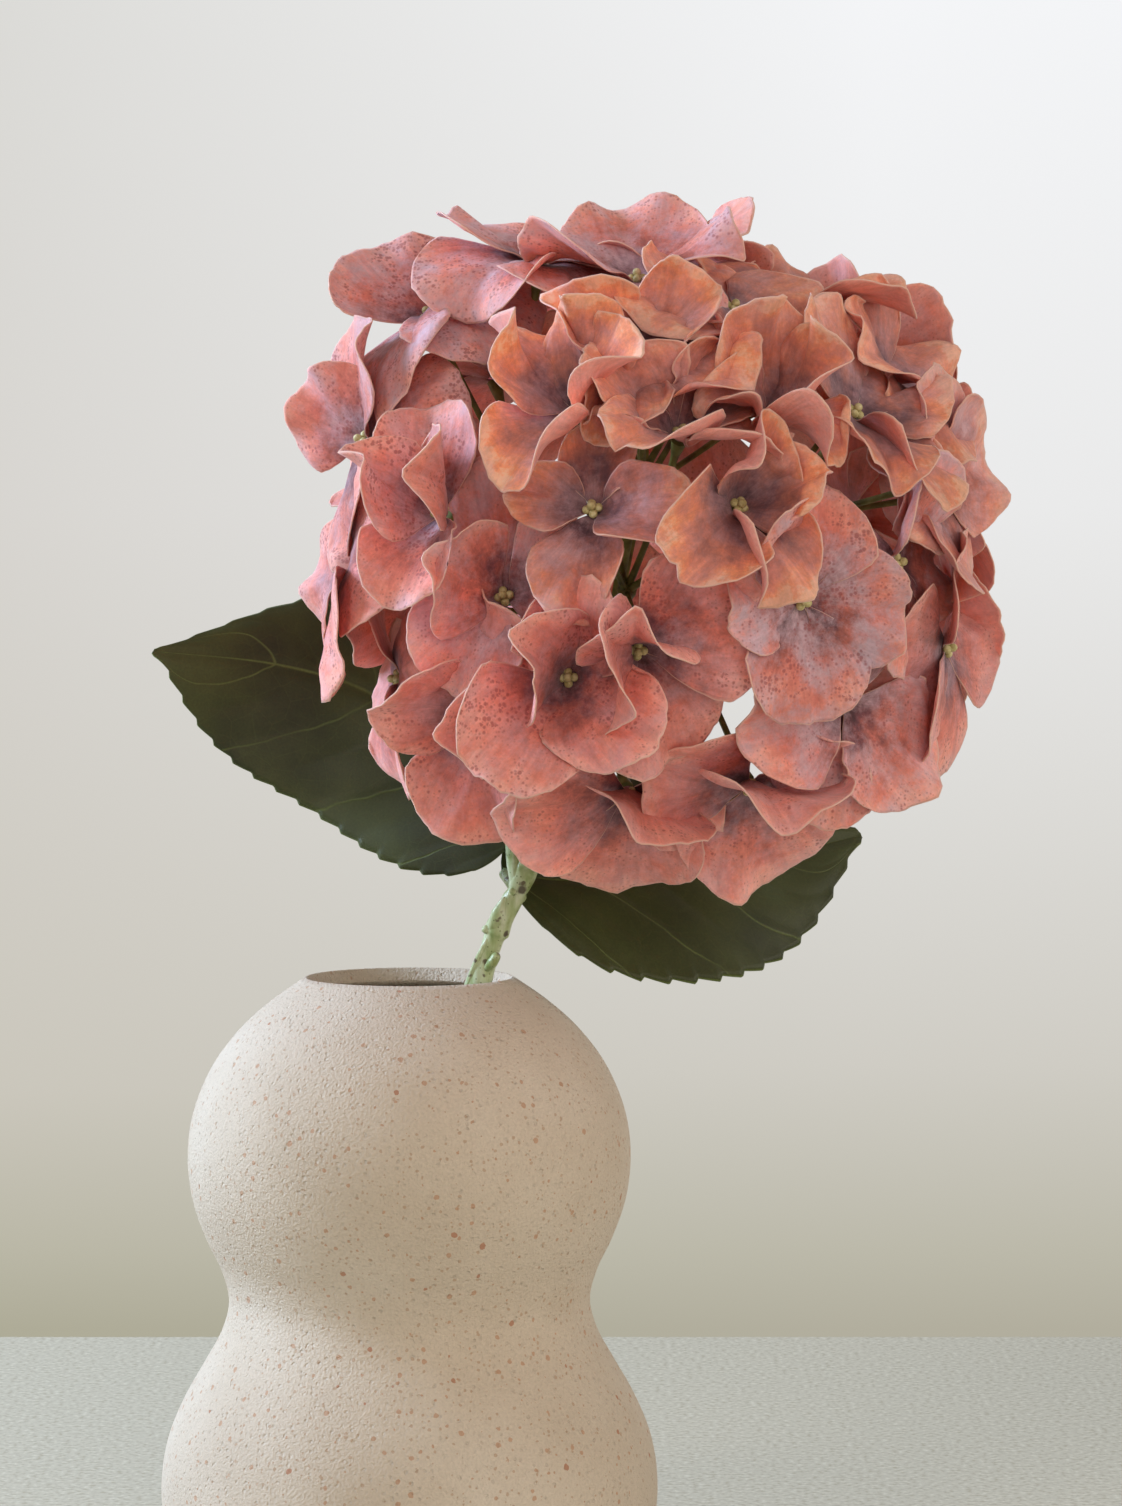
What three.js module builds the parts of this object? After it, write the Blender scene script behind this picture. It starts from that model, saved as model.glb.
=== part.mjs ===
// A mophead hydrangea with two leaves, standing in a stoneware vase of two bulbs.
// Millimetres, +Z up, -Y is the front. The origin is the centre of the vase's foot.
// The vase is one turned shell. The flower's stem leans in it from the floor to the rim, and
// ends in a core inside the head. Branches leave the core, and each carries a few florets.
// A floret is four petals, their eye and the pedicel that holds them.
import * as THREE from "three";

// ---- Driving dimensions ---------------------------------------------------------------

// Vase: radii of the outside, with the height of each above the foot's flat face.
const VASE_HEIGHT = 168;
const FOOT_RADIUS = 40;
const BELLY_RADIUS = 62.3;
const BELLY_HEIGHT = 40;
const WAIST_RADIUS = 45.3;
const WAIST_HEIGHT = 87;
const SHOULDER_RADIUS = 55.5;
const SHOULDER_HEIGHT = 124;
const MOUTH_RADIUS = 26;
const WALL = 4;
const FLOOR = 6;
const FOOT_CHAMFER = 1.5;
const SWELL_SHAPE = 0.72; // under 1 keeps the bulbs full and the waist tight

// Stem
const STEM_RADIUS = 3.7;
const STEM_REST_BEARING = -25; // degrees round the vase, from +X, where it meets the rim
const STEM_FOOT_BEARING = 157; // degrees round the vase, where its cut end stands
const NODE_ABOVE_RIM = new THREE.Vector3(11, -3.6, 24.5); // where the two leaves leave the stem
const CORE_RADIUS = 6.5;
const CORE_DROP = 30; // below the head's centre, along the flower's own axis

// Head
const HEAD_FROM_REST = new THREE.Vector3(43, -18.5, 105); // head's centre from the rim's resting point
const BRANCH_RADIUS = 1.5;
const BRANCH_KNOB_RADIUS = 3.2;
const PEDICEL_LENGTH = 40; // from a branch's end to the middle of its florets, at most
const LEAST_BRANCH = 14; // shortest way from the core to a branch's end
const PEDICEL_RADIUS = 0.75;
const EYE_RADIUS = 2.2;
const EYE_HEIGHT = 2.4;
const PETAL_THICKNESS = 0.8;
const PETAL_LENGTH = 27;
const NOTCH_SHARE = 0.58; // how far out the notch between two petals lies

// Leaves
const BLADE_THICKNESS = 0.9;
const PETIOLE_RADIUS = 1.7;
const PETIOLE_STAND = 1; // from the stem's surface to the line where a petiole starts

// Clearances
const SEAT_GAP = 0.3; // between a piece and what carries it
const CELL_GAP = 0.5; // between one floret and the next
const STANDING_GAP = 2.5; // between the stem's foot and the vase's inner wall

// Facets
const VASE_FACETS = 40;
const STEM_FACETS = 10;
const FLORET_SPOKES = 16; // four to a petal: notch, flank, tip, flank

// Florets by branch: bearing from the front (+ is right) and elevation, both in degrees seen
// from the head's centre, then the eye's distance from that centre, the petal length's share
// of PETAL_LENGTH, the first petal's turn, and how far the petals cup up from flat, in degrees.
const HEAD = {
  left: [
    [-46, 7, 70, 1.0, 80, 38],
    [-37, -10, 60, 0.95, 20, 25],
    [-80, -3, 74, 1.0, 10, 12],
  ],
  upper_left: [
    [-84, 46, 78, 1.1, 35, 5],
    [-78, 21, 75, 1.05, 60, 8],
    [-68, 66, 75, 1.05, 15, 10],
  ],
  lower_left: [
    [-47, -33, 67, 1.05, 40, 30],
    [-82, -26, 68, 0.95, 70, 20],
    [-12, -57, 66, 1.1, 45, 12],
    [-20, -25, 68, 0.95, 25, 42],
  ],
  front: [
    [-14, 8, 64, 0.9, 0, 20],
    [-18, 27, 68, 0.9, 50, 32],
    [4, 23, 66, 0.85, 20, 28],
    [14, 8, 69, 0.85, 65, 28],
    [-5, -19, 67, 1.1, 45, 22],
  ],
  upper_front: [
    [-6, 40, 67, 0.95, 75, 30],
    [-10, 66, 69, 1.05, 30, 35],
    [25, 55, 68, 1.0, 0, 15],
  ],
  right: [
    [25, 26, 66, 0.95, 40, 28],
    [46, 27, 69, 0.95, 10, 28],
    [27, -9, 70, 1.1, 15, 15],
    [55, -2, 66, 1.0, 60, 30],
  ],
  lower_right: [
    [48, -31, 67, 1.05, 20, 10],
    [30, -52, 68, 1.1, 50, 8],
    [78, -18, 73, 1.1, 65, 5],
    [110, -14, 69, 1.0, 30, 15],
  ],
  upper_right: [
    [72, 14, 69, 1.0, 40, 28],
    [78, 36, 70, 0.95, 15, 22],
    [75, 60, 68, 1.0, 60, 20],
    [104, 12, 69, 1.0, 70, 20],
    [112, 38, 70, 1.0, 5, 20],
  ],
  top: [
    [140, 62, 70, 1.0, 25, 20],
    [170, 84, 68, 1.0, 55, 25],
    [215, 64, 70, 1.0, 80, 20],
    [188, 34, 70, 1.0, 20, 15],
    [150, 34, 70, 1.0, 50, 20],
  ],
  back_right: [
    [134, 8, 70, 1.0, 10, 20],
    [164, 4, 69, 1.0, 45, 15],
    [142, -20, 68, 1.0, 75, 12],
  ],
  back_left: [
    [222, 10, 70, 1.0, 35, 15],
    [256, 14, 71, 1.0, 5, 18],
    [228, 40, 70, 1.0, 60, 20],
    [198, -12, 66, 0.85, 20, 25],
    [246, -10, 60, 1.0, 50, 14],
  ],
};

// ---- Small helpers --------------------------------------------------------------------

const degrees = THREE.MathUtils.degToRad;
const between = THREE.MathUtils.lerp;

function solid(name, geometry, material) {
  const mesh = new THREE.Mesh(geometry, material);
  mesh.name = name;
  return mesh;
}

function plainMaterial(color, roughness) {
  return new THREE.MeshStandardMaterial({ color, roughness, metalness: 0 });
}

// A direction given by its bearing from the front and its elevation.
function facing(bearing, elevation) {
  const level = Math.cos(degrees(elevation));
  const x = Math.sin(degrees(bearing)) * level;
  const y = -Math.cos(degrees(bearing)) * level;
  return new THREE.Vector3(x, y, Math.sin(degrees(elevation)));
}

// ---- Materials ------------------------------------------------------------------------

const STONEWARE = plainMaterial(0xd6cbbb, 0.85);
const STEM_GREEN = plainMaterial(0x86a071, 0.5);
const LEAF_GREEN = plainMaterial(0x353b22, 0.5);
const PEDICEL_GREEN = plainMaterial(0x6f7a3c, 0.6);
const CORAL = plainMaterial(0xc9705f, 0.8);

// ---- Vase -----------------------------------------------------------------------------

// Height of the half ellipse that narrows a bulb of the first radius to the second.
function ellipseHeight(wide, narrow, rise) {
  return rise / Math.sqrt(1 - (narrow / wide) ** 2);
}

// The outside of a bulb between the waist and its widest level.
function swellRadius(bulbRadius, share) {
  const eased = (1 - Math.cos(Math.PI * share ** SWELL_SHAPE)) / 2;
  return between(WAIST_RADIUS, bulbRadius, eased);
}

function outerRadius(z) {
  if (z < BELLY_HEIGHT) {
    const half = ellipseHeight(BELLY_RADIUS, FOOT_RADIUS, BELLY_HEIGHT);
    return BELLY_RADIUS * Math.sqrt(1 - ((BELLY_HEIGHT - z) / half) ** 2);
  }
  if (z < WAIST_HEIGHT) {
    return swellRadius(BELLY_RADIUS, (WAIST_HEIGHT - z) / (WAIST_HEIGHT - BELLY_HEIGHT));
  }
  if (z < SHOULDER_HEIGHT) {
    return swellRadius(SHOULDER_RADIUS, (z - WAIST_HEIGHT) / (SHOULDER_HEIGHT - WAIST_HEIGHT));
  }
  const half = ellipseHeight(SHOULDER_RADIUS, MOUTH_RADIUS, VASE_HEIGHT - SHOULDER_HEIGHT);
  return SHOULDER_RADIUS * Math.sqrt(1 - ((z - SHOULDER_HEIGHT) / half) ** 2);
}

// Levels that divide each stretch of the profile evenly.
function profileLevels() {
  const stretches = [
    [FOOT_CHAMFER, BELLY_HEIGHT, 5],
    [BELLY_HEIGHT, WAIST_HEIGHT, 7],
    [WAIST_HEIGHT, SHOULDER_HEIGHT, 6],
    [SHOULDER_HEIGHT, VASE_HEIGHT, 7],
  ];
  const levels = stretches.flatMap(([from, to, steps]) =>
    Array.from({ length: steps }, (_, i) => between(from, to, i / steps)),
  );
  return [...levels, VASE_HEIGHT];
}

// The inside wall's point, one wall's thickness in from the outside at a level.
function innerPoint(z) {
  const step = 0.05;
  const low = Math.min(z, VASE_HEIGHT - step);
  const slope = (outerRadius(low + step) - outerRadius(low)) / step;
  const length = Math.hypot(1, slope);
  return new THREE.Vector2(outerRadius(z) - WALL / length, z + (WALL * slope) / length);
}

const innerWall = profileLevels().map(innerPoint);

// Radius of the inside at a level, between the points of the inner wall.
function innerRadius(z) {
  const above = innerWall.findIndex((p) => p.y > z);
  const [low, high] = [innerWall[Math.max(above - 1, 0)], innerWall[Math.max(above, 1)]];
  return between(low.x, high.x, (z - low.y) / (high.y - low.y));
}

function vaseGeometry() {
  const outside = profileLevels().map((z) => new THREE.Vector2(outerRadius(z), z));
  const inside = innerWall.filter((p) => p.y > FLOOR + 2).reverse();
  const profile = [
    new THREE.Vector2(0, 0),
    new THREE.Vector2(outerRadius(FOOT_CHAMFER) - FOOT_CHAMFER, 0),
    ...outside,
    ...inside,
    new THREE.Vector2(innerRadius(FLOOR) - 2, FLOOR),
    new THREE.Vector2(0, FLOOR),
  ];
  return new THREE.LatheGeometry(profile, VASE_FACETS).rotateX(Math.PI / 2);
}

// ---- Stem -----------------------------------------------------------------------------

function onVase(radius, bearing, z) {
  const x = radius * Math.cos(degrees(bearing));
  return new THREE.Vector3(x, radius * Math.sin(degrees(bearing)), z);
}

const rimInside = innerWall[innerWall.length - 1];
const stemRest = onVase(rimInside.x - STEM_RADIUS - SEAT_GAP - 0.6, STEM_REST_BEARING, VASE_HEIGHT);
const stemFootLevel = FLOOR + SEAT_GAP + STEM_RADIUS * 0.4;
const stemFootRadius = innerRadius(FLOOR + STEM_RADIUS) - STEM_RADIUS - STANDING_GAP;
const stemFoot = onVase(stemFootRadius, STEM_FOOT_BEARING, stemFootLevel);
const leafNode = stemRest.clone().add(NODE_ABOVE_RIM);
const headCentre = stemRest.clone().add(HEAD_FROM_REST);
const flowerAxis = headCentre.clone().sub(leafNode).normalize();
const core = headCentre.clone().addScaledVector(flowerAxis, -CORE_DROP);

function stemPath() {
  const inside = stemFoot.clone().lerp(stemRest, 0.5);
  const top = core.clone().addScaledVector(flowerAxis, -CORE_RADIUS - SEAT_GAP);
  return new THREE.CatmullRomCurve3([stemFoot, inside, stemRest, leafNode, top]);
}

function stemGeometry() {
  const section = new THREE.Shape(
    Array.from({ length: STEM_FACETS }, (_, i) => {
      const turn = (2 * Math.PI * i) / STEM_FACETS;
      return new THREE.Vector2(STEM_RADIUS * Math.cos(turn), STEM_RADIUS * Math.sin(turn));
    }),
  );
  return new THREE.ExtrudeGeometry(section, { steps: 26, extrudePath: stemPath() });
}

// The swelling on top of the stem that the branches leave from.
function coreMesh() {
  const mesh = solid("core", new THREE.SphereGeometry(CORE_RADIUS, 12, 8), PEDICEL_GREEN);
  mesh.position.copy(core);
  return mesh;
}

// ---- Branches -------------------------------------------------------------------------

// A rod along +Y that starts on the core and ends in a small knob, as one turned solid.
function branchGeometry(length) {
  const neck = length - BRANCH_KNOB_RADIUS * 0.8;
  const profile = [
    new THREE.Vector2(0, 0),
    new THREE.Vector2(BRANCH_RADIUS, 0),
    new THREE.Vector2(BRANCH_RADIUS, neck),
    new THREE.Vector2(BRANCH_KNOB_RADIUS, length),
    new THREE.Vector2(BRANCH_KNOB_RADIUS * 0.7, length + BRANCH_KNOB_RADIUS * 0.75),
    new THREE.Vector2(0, length + BRANCH_KNOB_RADIUS),
  ];
  return new THREE.LatheGeometry(profile, 8);
}

const UP = new THREE.Vector3(0, 1, 0);

function branch(name, joint) {
  const way = joint.clone().sub(core);
  const direction = way.clone().normalize();
  const start = CORE_RADIUS + SEAT_GAP;
  const mesh = solid(name, branchGeometry(way.length() - start), PEDICEL_GREEN);
  mesh.position.copy(core).addScaledVector(direction, start);
  mesh.quaternion.setFromUnitVectors(UP, direction);
  return mesh;
}

// ---- Florets --------------------------------------------------------------------------

function floretPlaces() {
  return Object.entries(HEAD).flatMap(([branchName, rows]) =>
    rows.map(([bearing, elevation, reach, size, turn, cup]) => {
      const outward = facing(bearing, elevation);
      const eye = headCentre.clone().addScaledVector(outward, reach);
      return { branchName, outward, eye, length: PETAL_LENGTH * size, turn, cup };
    }),
  );
}

const florets = floretPlaces();

// The end of a branch: on the way from the core to the middle of its florets.
function branchEnd(branchName) {
  const own = florets.filter((f) => f.branchName === branchName);
  const middle = own
    .reduce((sum, f) => sum.add(f.eye), new THREE.Vector3())
    .divideScalar(own.length);
  const distance = middle.distanceTo(core);
  const back = Math.min(PEDICEL_LENGTH, distance - LEAST_BRANCH);
  return middle.lerp(core, back / distance);
}

const branchEnds = Object.fromEntries(Object.keys(HEAD).map((name) => [name, branchEnd(name)]));

// Whether a point lies in the wedge of the head that is nearer to this floret than to any other.
function inOwnCell(point, floret) {
  const arm = point.clone().sub(headCentre);
  return florets.every((other) => {
    if (other === floret) return true;
    const across = other.outward.clone().sub(floret.outward).normalize();
    return arm.dot(across) < -CELL_GAP / 2;
  });
}

// The petals' outline: a lobe at every fourth spoke, and a notch two spokes from it.
function lobeShare(spoke) {
  return [1, 0.97, NOTCH_SHARE, 0.97][spoke % 4];
}

// Rings of a floret from its eye out to the petal edge and back under to the pedicel's foot:
// the distance out as a share of the petal's length or as a radius, and the height.
const RINGS = [
  { radius: 0, height: EYE_HEIGHT },
  { radius: EYE_RADIUS, height: 1.4 },
  { share: 0.6, side: 1 },
  { share: 1, side: 1 },
  { share: 1, side: -1 },
  { share: 0.6, side: -1 },
  { radius: PEDICEL_RADIUS, height: -1.6 },
  { radius: PEDICEL_RADIUS, foot: true },
  { radius: 0, foot: true },
];

// A petal ring's point on one spoke: cupped up by an angle that eases off towards the edge.
function petalPoint(ring, spoke, floret, shrink) {
  const turn = (2 * Math.PI * spoke) / FLORET_SPOKES;
  const reach = floret.length * ring.share * lobeShare(spoke) * shrink;
  const cup = degrees(floret.cup) * (1.2 - 0.35 * ring.share);
  const out = reach * Math.cos(cup) - ring.side * (PETAL_THICKNESS / 2) * Math.sin(cup);
  const up = reach * Math.sin(cup) + ring.side * (PETAL_THICKNESS / 2) * Math.cos(cup);
  return new THREE.Vector3(out * Math.cos(turn), up, out * Math.sin(turn));
}

function floretPoint(ring, spoke, floret, shrink) {
  if (ring.share) return petalPoint(ring, spoke, floret, shrink);
  const turn = (2 * Math.PI * spoke) / FLORET_SPOKES;
  const height = ring.foot ? -floret.pedicel : ring.height;
  return new THREE.Vector3(ring.radius * Math.cos(turn), height, ring.radius * Math.sin(turn));
}

// The largest share of its length that a spoke can have inside the floret's own cell.
function spokeShrink(spoke, floret, mesh) {
  const petalRings = RINGS.filter((ring) => ring.share);
  let shrink = 1;
  const fits = () =>
    petalRings.every((ring) =>
      inOwnCell(mesh.localToWorld(petalPoint(ring, spoke, floret, shrink)), floret),
    );
  while (shrink > 0.2 && !fits()) shrink -= 0.02;
  return shrink;
}

function floretMesh(name, floret) {
  const joint = branchEnds[floret.branchName];
  const way = floret.eye.clone().sub(joint);
  floret.pedicel = way.length() - BRANCH_KNOB_RADIUS - SEAT_GAP;
  const profile = RINGS.map((ring) => {
    const height = ring.foot ? -floret.pedicel : (ring.height ?? ring.side);
    return new THREE.Vector2(ring.radius ?? floret.length * ring.share, height);
  });
  const geometry = new THREE.LatheGeometry(profile, FLORET_SPOKES);
  const mesh = solid(name, geometry, CORAL);
  mesh.position.copy(floret.eye);
  mesh.quaternion.setFromUnitVectors(UP, way.normalize());
  mesh.rotateY(degrees(floret.turn));
  mesh.updateMatrixWorld();
  const shrinks = Array.from({ length: FLORET_SPOKES }, (_, k) => spokeShrink(k, floret, mesh));
  const position = geometry.attributes.position;
  for (let i = 0; i < position.count; i += 1) {
    const spoke = Math.floor(i / RINGS.length) % FLORET_SPOKES;
    const point = floretPoint(RINGS[i % RINGS.length], spoke, floret, shrinks[spoke]);
    position.setXYZ(i, point.x, point.y, point.z);
  }
  return mesh;
}

// ---- Leaves ---------------------------------------------------------------------------

// Half width of a leaf at a share of its length: a petiole, a broad oval blade, a pointed tip.
function leafHalfWidth(share, petioleShare, halfWidth) {
  if (share <= petioleShare) return PETIOLE_RADIUS;
  const along = (share - petioleShare) / (1 - petioleShare);
  const oval = Math.sin(Math.PI * along ** 0.9) ** 0.7;
  return Math.max(halfWidth * oval, along > 0.9 ? 0.8 : PETIOLE_RADIUS);
}

// A leaf bent along its midrib. Its blade folds up a little to each side of the midrib. All
// its cross-sections run the same way, square to the line from petiole to tip.
function leafGeometry({ midrib, normal, halfWidth, petioleShare, fold, droop }) {
  const curve = new THREE.CatmullRomCurve3(midrib);
  const length = midrib[midrib.length - 1].clone().sub(midrib[0]);
  const sideways = new THREE.Vector3().crossVectors(normal, length).normalize();
  const geometry = new THREE.BoxGeometry(1, 2, 1, 14, 4, 1);
  const position = geometry.attributes.position;
  for (let i = 0; i < position.count; i += 1) {
    const share = position.getX(i) + 0.5;
    const across = position.getY(i);
    const side = position.getZ(i) > 0 ? 1 : -1;
    const along = curve.getTangentAt(share);
    const upwards = new THREE.Vector3().crossVectors(along, sideways).normalize();
    const reach = leafHalfWidth(share, petioleShare, halfWidth);
    const blade = reach / halfWidth;
    const thick = share <= petioleShare ? PETIOLE_RADIUS * 2 : BLADE_THICKNESS;
    const lift = Math.abs(across) * reach * Math.sin(degrees(fold)) - droop * across ** 2 * blade;
    const point = curve
      .getPointAt(share)
      .addScaledVector(sideways, across * reach * Math.cos(degrees(fold)))
      .addScaledVector(upwards, lift + (side * thick) / 2);
    position.setXYZ(i, point.x, point.y, point.z);
  }
  return geometry;
}

// A point that is given from the place where the leaf's petiole leaves the stem.
function fromNode(x, y, z) {
  return leafNode.clone().add(new THREE.Vector3(x, y, z));
}

// Where a petiole starts: beside the stem on a bearing round it, a rise above that place.
function besideStem(bearing, rise) {
  const out = STEM_RADIUS + PETIOLE_STAND;
  return leafNode
    .clone()
    .addScaledVector(NODE_ABOVE_RIM, rise / NODE_ABOVE_RIM.z)
    .add(new THREE.Vector3(out * Math.cos(degrees(bearing)), out * Math.sin(degrees(bearing)), 0));
}

const LEFT_LEAF = {
  midrib: [
    besideStem(138, 1),
    fromNode(-12, 14, 13),
    fromNode(-37, 31, 45),
    fromNode(-62, 28, 53),
    fromNode(-93, 14, 57),
  ],
  normal: new THREE.Vector3(-0.15, -0.8, 0.6),
  halfWidth: 38,
  petioleShare: 0.1,
  fold: -12,
  droop: 3,
};

const RIGHT_LEAF = {
  midrib: [
    besideStem(25, -4),
    fromNode(10, 10, -2),
    fromNode(40, 32, 3),
    fromNode(66, 48, 4),
    fromNode(88, 60, 8),
  ],
  normal: new THREE.Vector3(0.35, -0.7, 0.62),
  halfWidth: 37,
  petioleShare: 0.1,
  fold: 10,
  droop: 5,
};

// ---- Assembly -------------------------------------------------------------------------

const hydrangea = new THREE.Group();
hydrangea.add(solid("vase", vaseGeometry(), STONEWARE));
hydrangea.add(solid("stem", stemGeometry(), STEM_GREEN));
hydrangea.add(coreMesh());
hydrangea.add(solid("leaf_left", leafGeometry(LEFT_LEAF), LEAF_GREEN));
hydrangea.add(solid("leaf_right", leafGeometry(RIGHT_LEAF), LEAF_GREEN));
for (const [name, joint] of Object.entries(branchEnds)) {
  hydrangea.add(branch(`branch_${name}`, joint));
}
florets.forEach((floret, i) => {
  hydrangea.add(floretMesh(`floret_${String(i + 1).padStart(2, "0")}`, floret));
});

export default hydrangea;
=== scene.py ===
import math
import random

import bpy
import numpy as np
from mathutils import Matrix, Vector
from mathutils.kdtree import KDTree


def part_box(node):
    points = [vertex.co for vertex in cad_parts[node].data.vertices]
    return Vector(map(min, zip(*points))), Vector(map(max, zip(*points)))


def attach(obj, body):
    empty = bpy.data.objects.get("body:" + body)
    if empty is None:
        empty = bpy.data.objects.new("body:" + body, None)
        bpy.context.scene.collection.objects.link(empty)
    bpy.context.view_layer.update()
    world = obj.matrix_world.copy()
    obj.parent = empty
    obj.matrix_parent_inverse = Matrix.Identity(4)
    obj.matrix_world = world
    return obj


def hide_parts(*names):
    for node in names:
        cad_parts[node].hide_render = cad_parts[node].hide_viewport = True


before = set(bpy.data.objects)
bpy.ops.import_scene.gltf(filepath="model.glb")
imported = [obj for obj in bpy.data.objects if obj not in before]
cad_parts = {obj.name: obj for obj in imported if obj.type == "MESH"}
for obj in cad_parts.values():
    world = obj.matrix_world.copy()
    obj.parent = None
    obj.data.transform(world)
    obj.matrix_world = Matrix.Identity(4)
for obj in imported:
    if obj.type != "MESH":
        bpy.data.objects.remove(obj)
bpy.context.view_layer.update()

# ---- Studio ---------------------------------------------------------------------------
# A speckled pale stone table top in front of a pale wall. A big soft window lights it from
# the left and a little behind, and warm walls give the front its fill.

TABLE_EDGE = 1.6  # from the middle to its front and sides
TABLE_BACK = 0.424
TABLE_THICK = 0.03
WALL_BACK = 3.0
WALL_EDGE = 4.0
WALL_FOOT, WALL_TOP = -2.0, 3.5


def linear(colour):
    """A colour given as sRGB hex, as linear RGBA."""
    parts = [int(colour[i : i + 2], 16) / 255 for i in (1, 3, 5)]
    return [c / 12.92 if c < 0.04045 else ((c + 0.055) / 1.055) ** 2.4 for c in parts] + [1.0]


def node(tree, kind, values=None, stops=None, **settings):
    """Adds a node. values are its inputs by name or number, each a value or another node's
    output, and stops are a colour ramp's positions and colours."""
    added = tree.nodes.new(kind)
    for name, setting in settings.items():
        setattr(added, name, setting)
    for key, value in (values or {}).items():
        if isinstance(value, bpy.types.NodeSocket):
            tree.links.new(value, added.inputs[key])
        else:
            added.inputs[key].default_value = value
    for i, (position, colour) in enumerate(stops or []):
        elements = added.color_ramp.elements
        stop = elements[i] if i < 2 else elements.new(position)
        stop.position = position
        stop.color = linear(colour)
    return added


def new_material(name, **values):
    """A material with one Principled shader, its tree and that shader."""
    material = bpy.data.materials.new(name)
    material.use_nodes = True
    tree = material.node_tree
    shader = tree.nodes["Principled BSDF"]
    for key, value in values.items():
        shader.inputs[key.replace("_", " ")].default_value = value
    return material, tree, shader


def new_mesh(name, points, faces, material, smooth=True):
    """A mesh object at the origin, from points in metres."""
    mesh = bpy.data.meshes.new(name)
    mesh.from_pydata([tuple(p) for p in points], [], [tuple(f) for f in faces])
    mesh.materials.append(material)
    mesh.polygons.foreach_set("use_smooth", [smooth] * len(mesh.polygons))
    piece = bpy.data.objects.new(name, mesh)
    bpy.context.scene.collection.objects.link(piece)
    return piece


# Honed stone: a pale grey-green ground with fine darker and lighter grains. Here and below, a
# pattern's scale is in repeats to the metre, so these grains are 2 mm apart.
stone, tree, shader = new_material("honed_stone", Roughness=0.85)
place = node(tree, "ShaderNodeTexCoord").outputs["Object"]
grains = node(tree, "ShaderNodeTexNoise", {"Vector": place, "Scale": 520.0, "Detail": 2.0})
speck = node(tree, "ShaderNodeValToRGB", {0: grains.outputs["Fac"]},
             [(0.34, "#aea690"), (0.46, "#bdb7a4"), (0.6, "#c4beaa"), (0.7, "#cfcab8")])
tree.links.new(speck.outputs[0], shader.inputs["Base Color"])
outline = [(-TABLE_EDGE, -TABLE_EDGE), (TABLE_EDGE, -TABLE_EDGE), (TABLE_EDGE, TABLE_BACK),
           (-TABLE_EDGE, TABLE_BACK)]
corners = [(x, y, z) for z in (-TABLE_THICK, 0.0) for x, y in outline]
table = new_mesh("table", corners, [(4, 5, 6, 7), (0, 3, 2, 1), (0, 1, 5, 4), (1, 2, 6, 5),
                                    (2, 3, 7, 6), (3, 0, 4, 7)], stone, smooth=False)

# The wall glows by itself, out in the light behind, and its colour is painted light: warm grey low
# down, going to a pale grey high on the left and nearly white high on the right. It shows these painted
# shades, whatever lights the vase.
wall_glow, tree, shader = new_material("glowing_wall_painted_light", Roughness=0.9)
shader.inputs["Base Color"].default_value = linear("#000000")
shader.inputs["Specular IOR Level"].default_value = 0.0
shader.inputs["Emission Strength"].default_value = 1.0
part = node(tree, "ShaderNodeSeparateXYZ", {0: node(tree, "ShaderNodeTexCoord").outputs["Object"]})
climb = node(tree, "ShaderNodeMapRange", {"Value": part.outputs["Z"], 1: -0.46, 2: 0.87})
dim = node(tree, "ShaderNodeValToRGB", {0: climb.outputs[0]},
           [(0.0, "#aeab97"), (0.06, "#bab7a6"), (0.18, "#cac6bb"), (0.62, "#d6d3ce"), (1.0, "#d9d8d4")])
bright = node(tree, "ShaderNodeValToRGB", {0: climb.outputs[0]},
              [(0.0, "#b2ae9e"), (0.06, "#bcb9aa"), (0.2, "#cfccc4"), (0.62, "#eaeaea"), (1.0, "#f4f5f7")])
across = node(tree, "ShaderNodeMapRange", {"Value": part.outputs["X"], 1: -0.6, 2: 0.35})
shade = node(tree, "ShaderNodeMix", {0: across.outputs[0], 6: dim.outputs[0], 7: bright.outputs[0]},
             data_type="RGBA")
# The wall is no lamp: this painted light is its glow.
tree.links.new(shade.outputs[2], shader.inputs["Emission Color"])
corners = [(x, WALL_BACK, z) for x, z in
           ((-WALL_EDGE, WALL_FOOT), (WALL_EDGE, WALL_FOOT), (WALL_EDGE, WALL_TOP), (-WALL_EDGE, WALL_TOP))]
wall = new_mesh("wall", corners, [(0, 1, 2, 3)], wall_glow, smooth=False)

scene = bpy.context.scene
scene.view_settings.view_transform = "Standard"
scene.world = bpy.data.worlds.new("soft_daylight")
scene.world.use_nodes = True
scene.world.node_tree.nodes["Background"].inputs[0].default_value = linear("#f1eee9")
scene.world.node_tree.nodes["Background"].inputs[1].default_value = 0.35

# Each light's name, place, aim, width and height in metres, power in watts, and colour.
for name, place, aim, width, height, power, colour in (
    ("window", (-1.5, 0.30, 0.95), (0.0, 0.0, 0.2), 0.7, 0.7, 44.0, "#cce1ff"),
    ("front_window", (-0.9, -1.5, 1.3), (0.0, 0.0, 0.25), 0.4, 0.4, 5.0, "#fff4ec"),
    ("front_fill", (0.7, -2.2, 0.7), (0.0, 0.0, 0.2), 1.4, 1.4, 12.7, "#ffead8"),
    ("right_fill", (1.6, -0.3, 0.6), (0.0, 0.0, 0.2), 0.9, 1.0, 6.3, "#fff4ea"),
):
    lamp = bpy.data.lights.new(name, "AREA")
    lamp.shape = "RECTANGLE"
    lamp.size, lamp.size_y, lamp.energy = width, height, power
    lamp.color = linear(colour)[:3]
    light = bpy.data.objects.new(name, lamp)
    light.location = place
    light.rotation_euler = (Vector(aim) - Vector(place)).to_track_quat("-Z", "Y").to_euler()
    scene.collection.objects.link(light)

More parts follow.
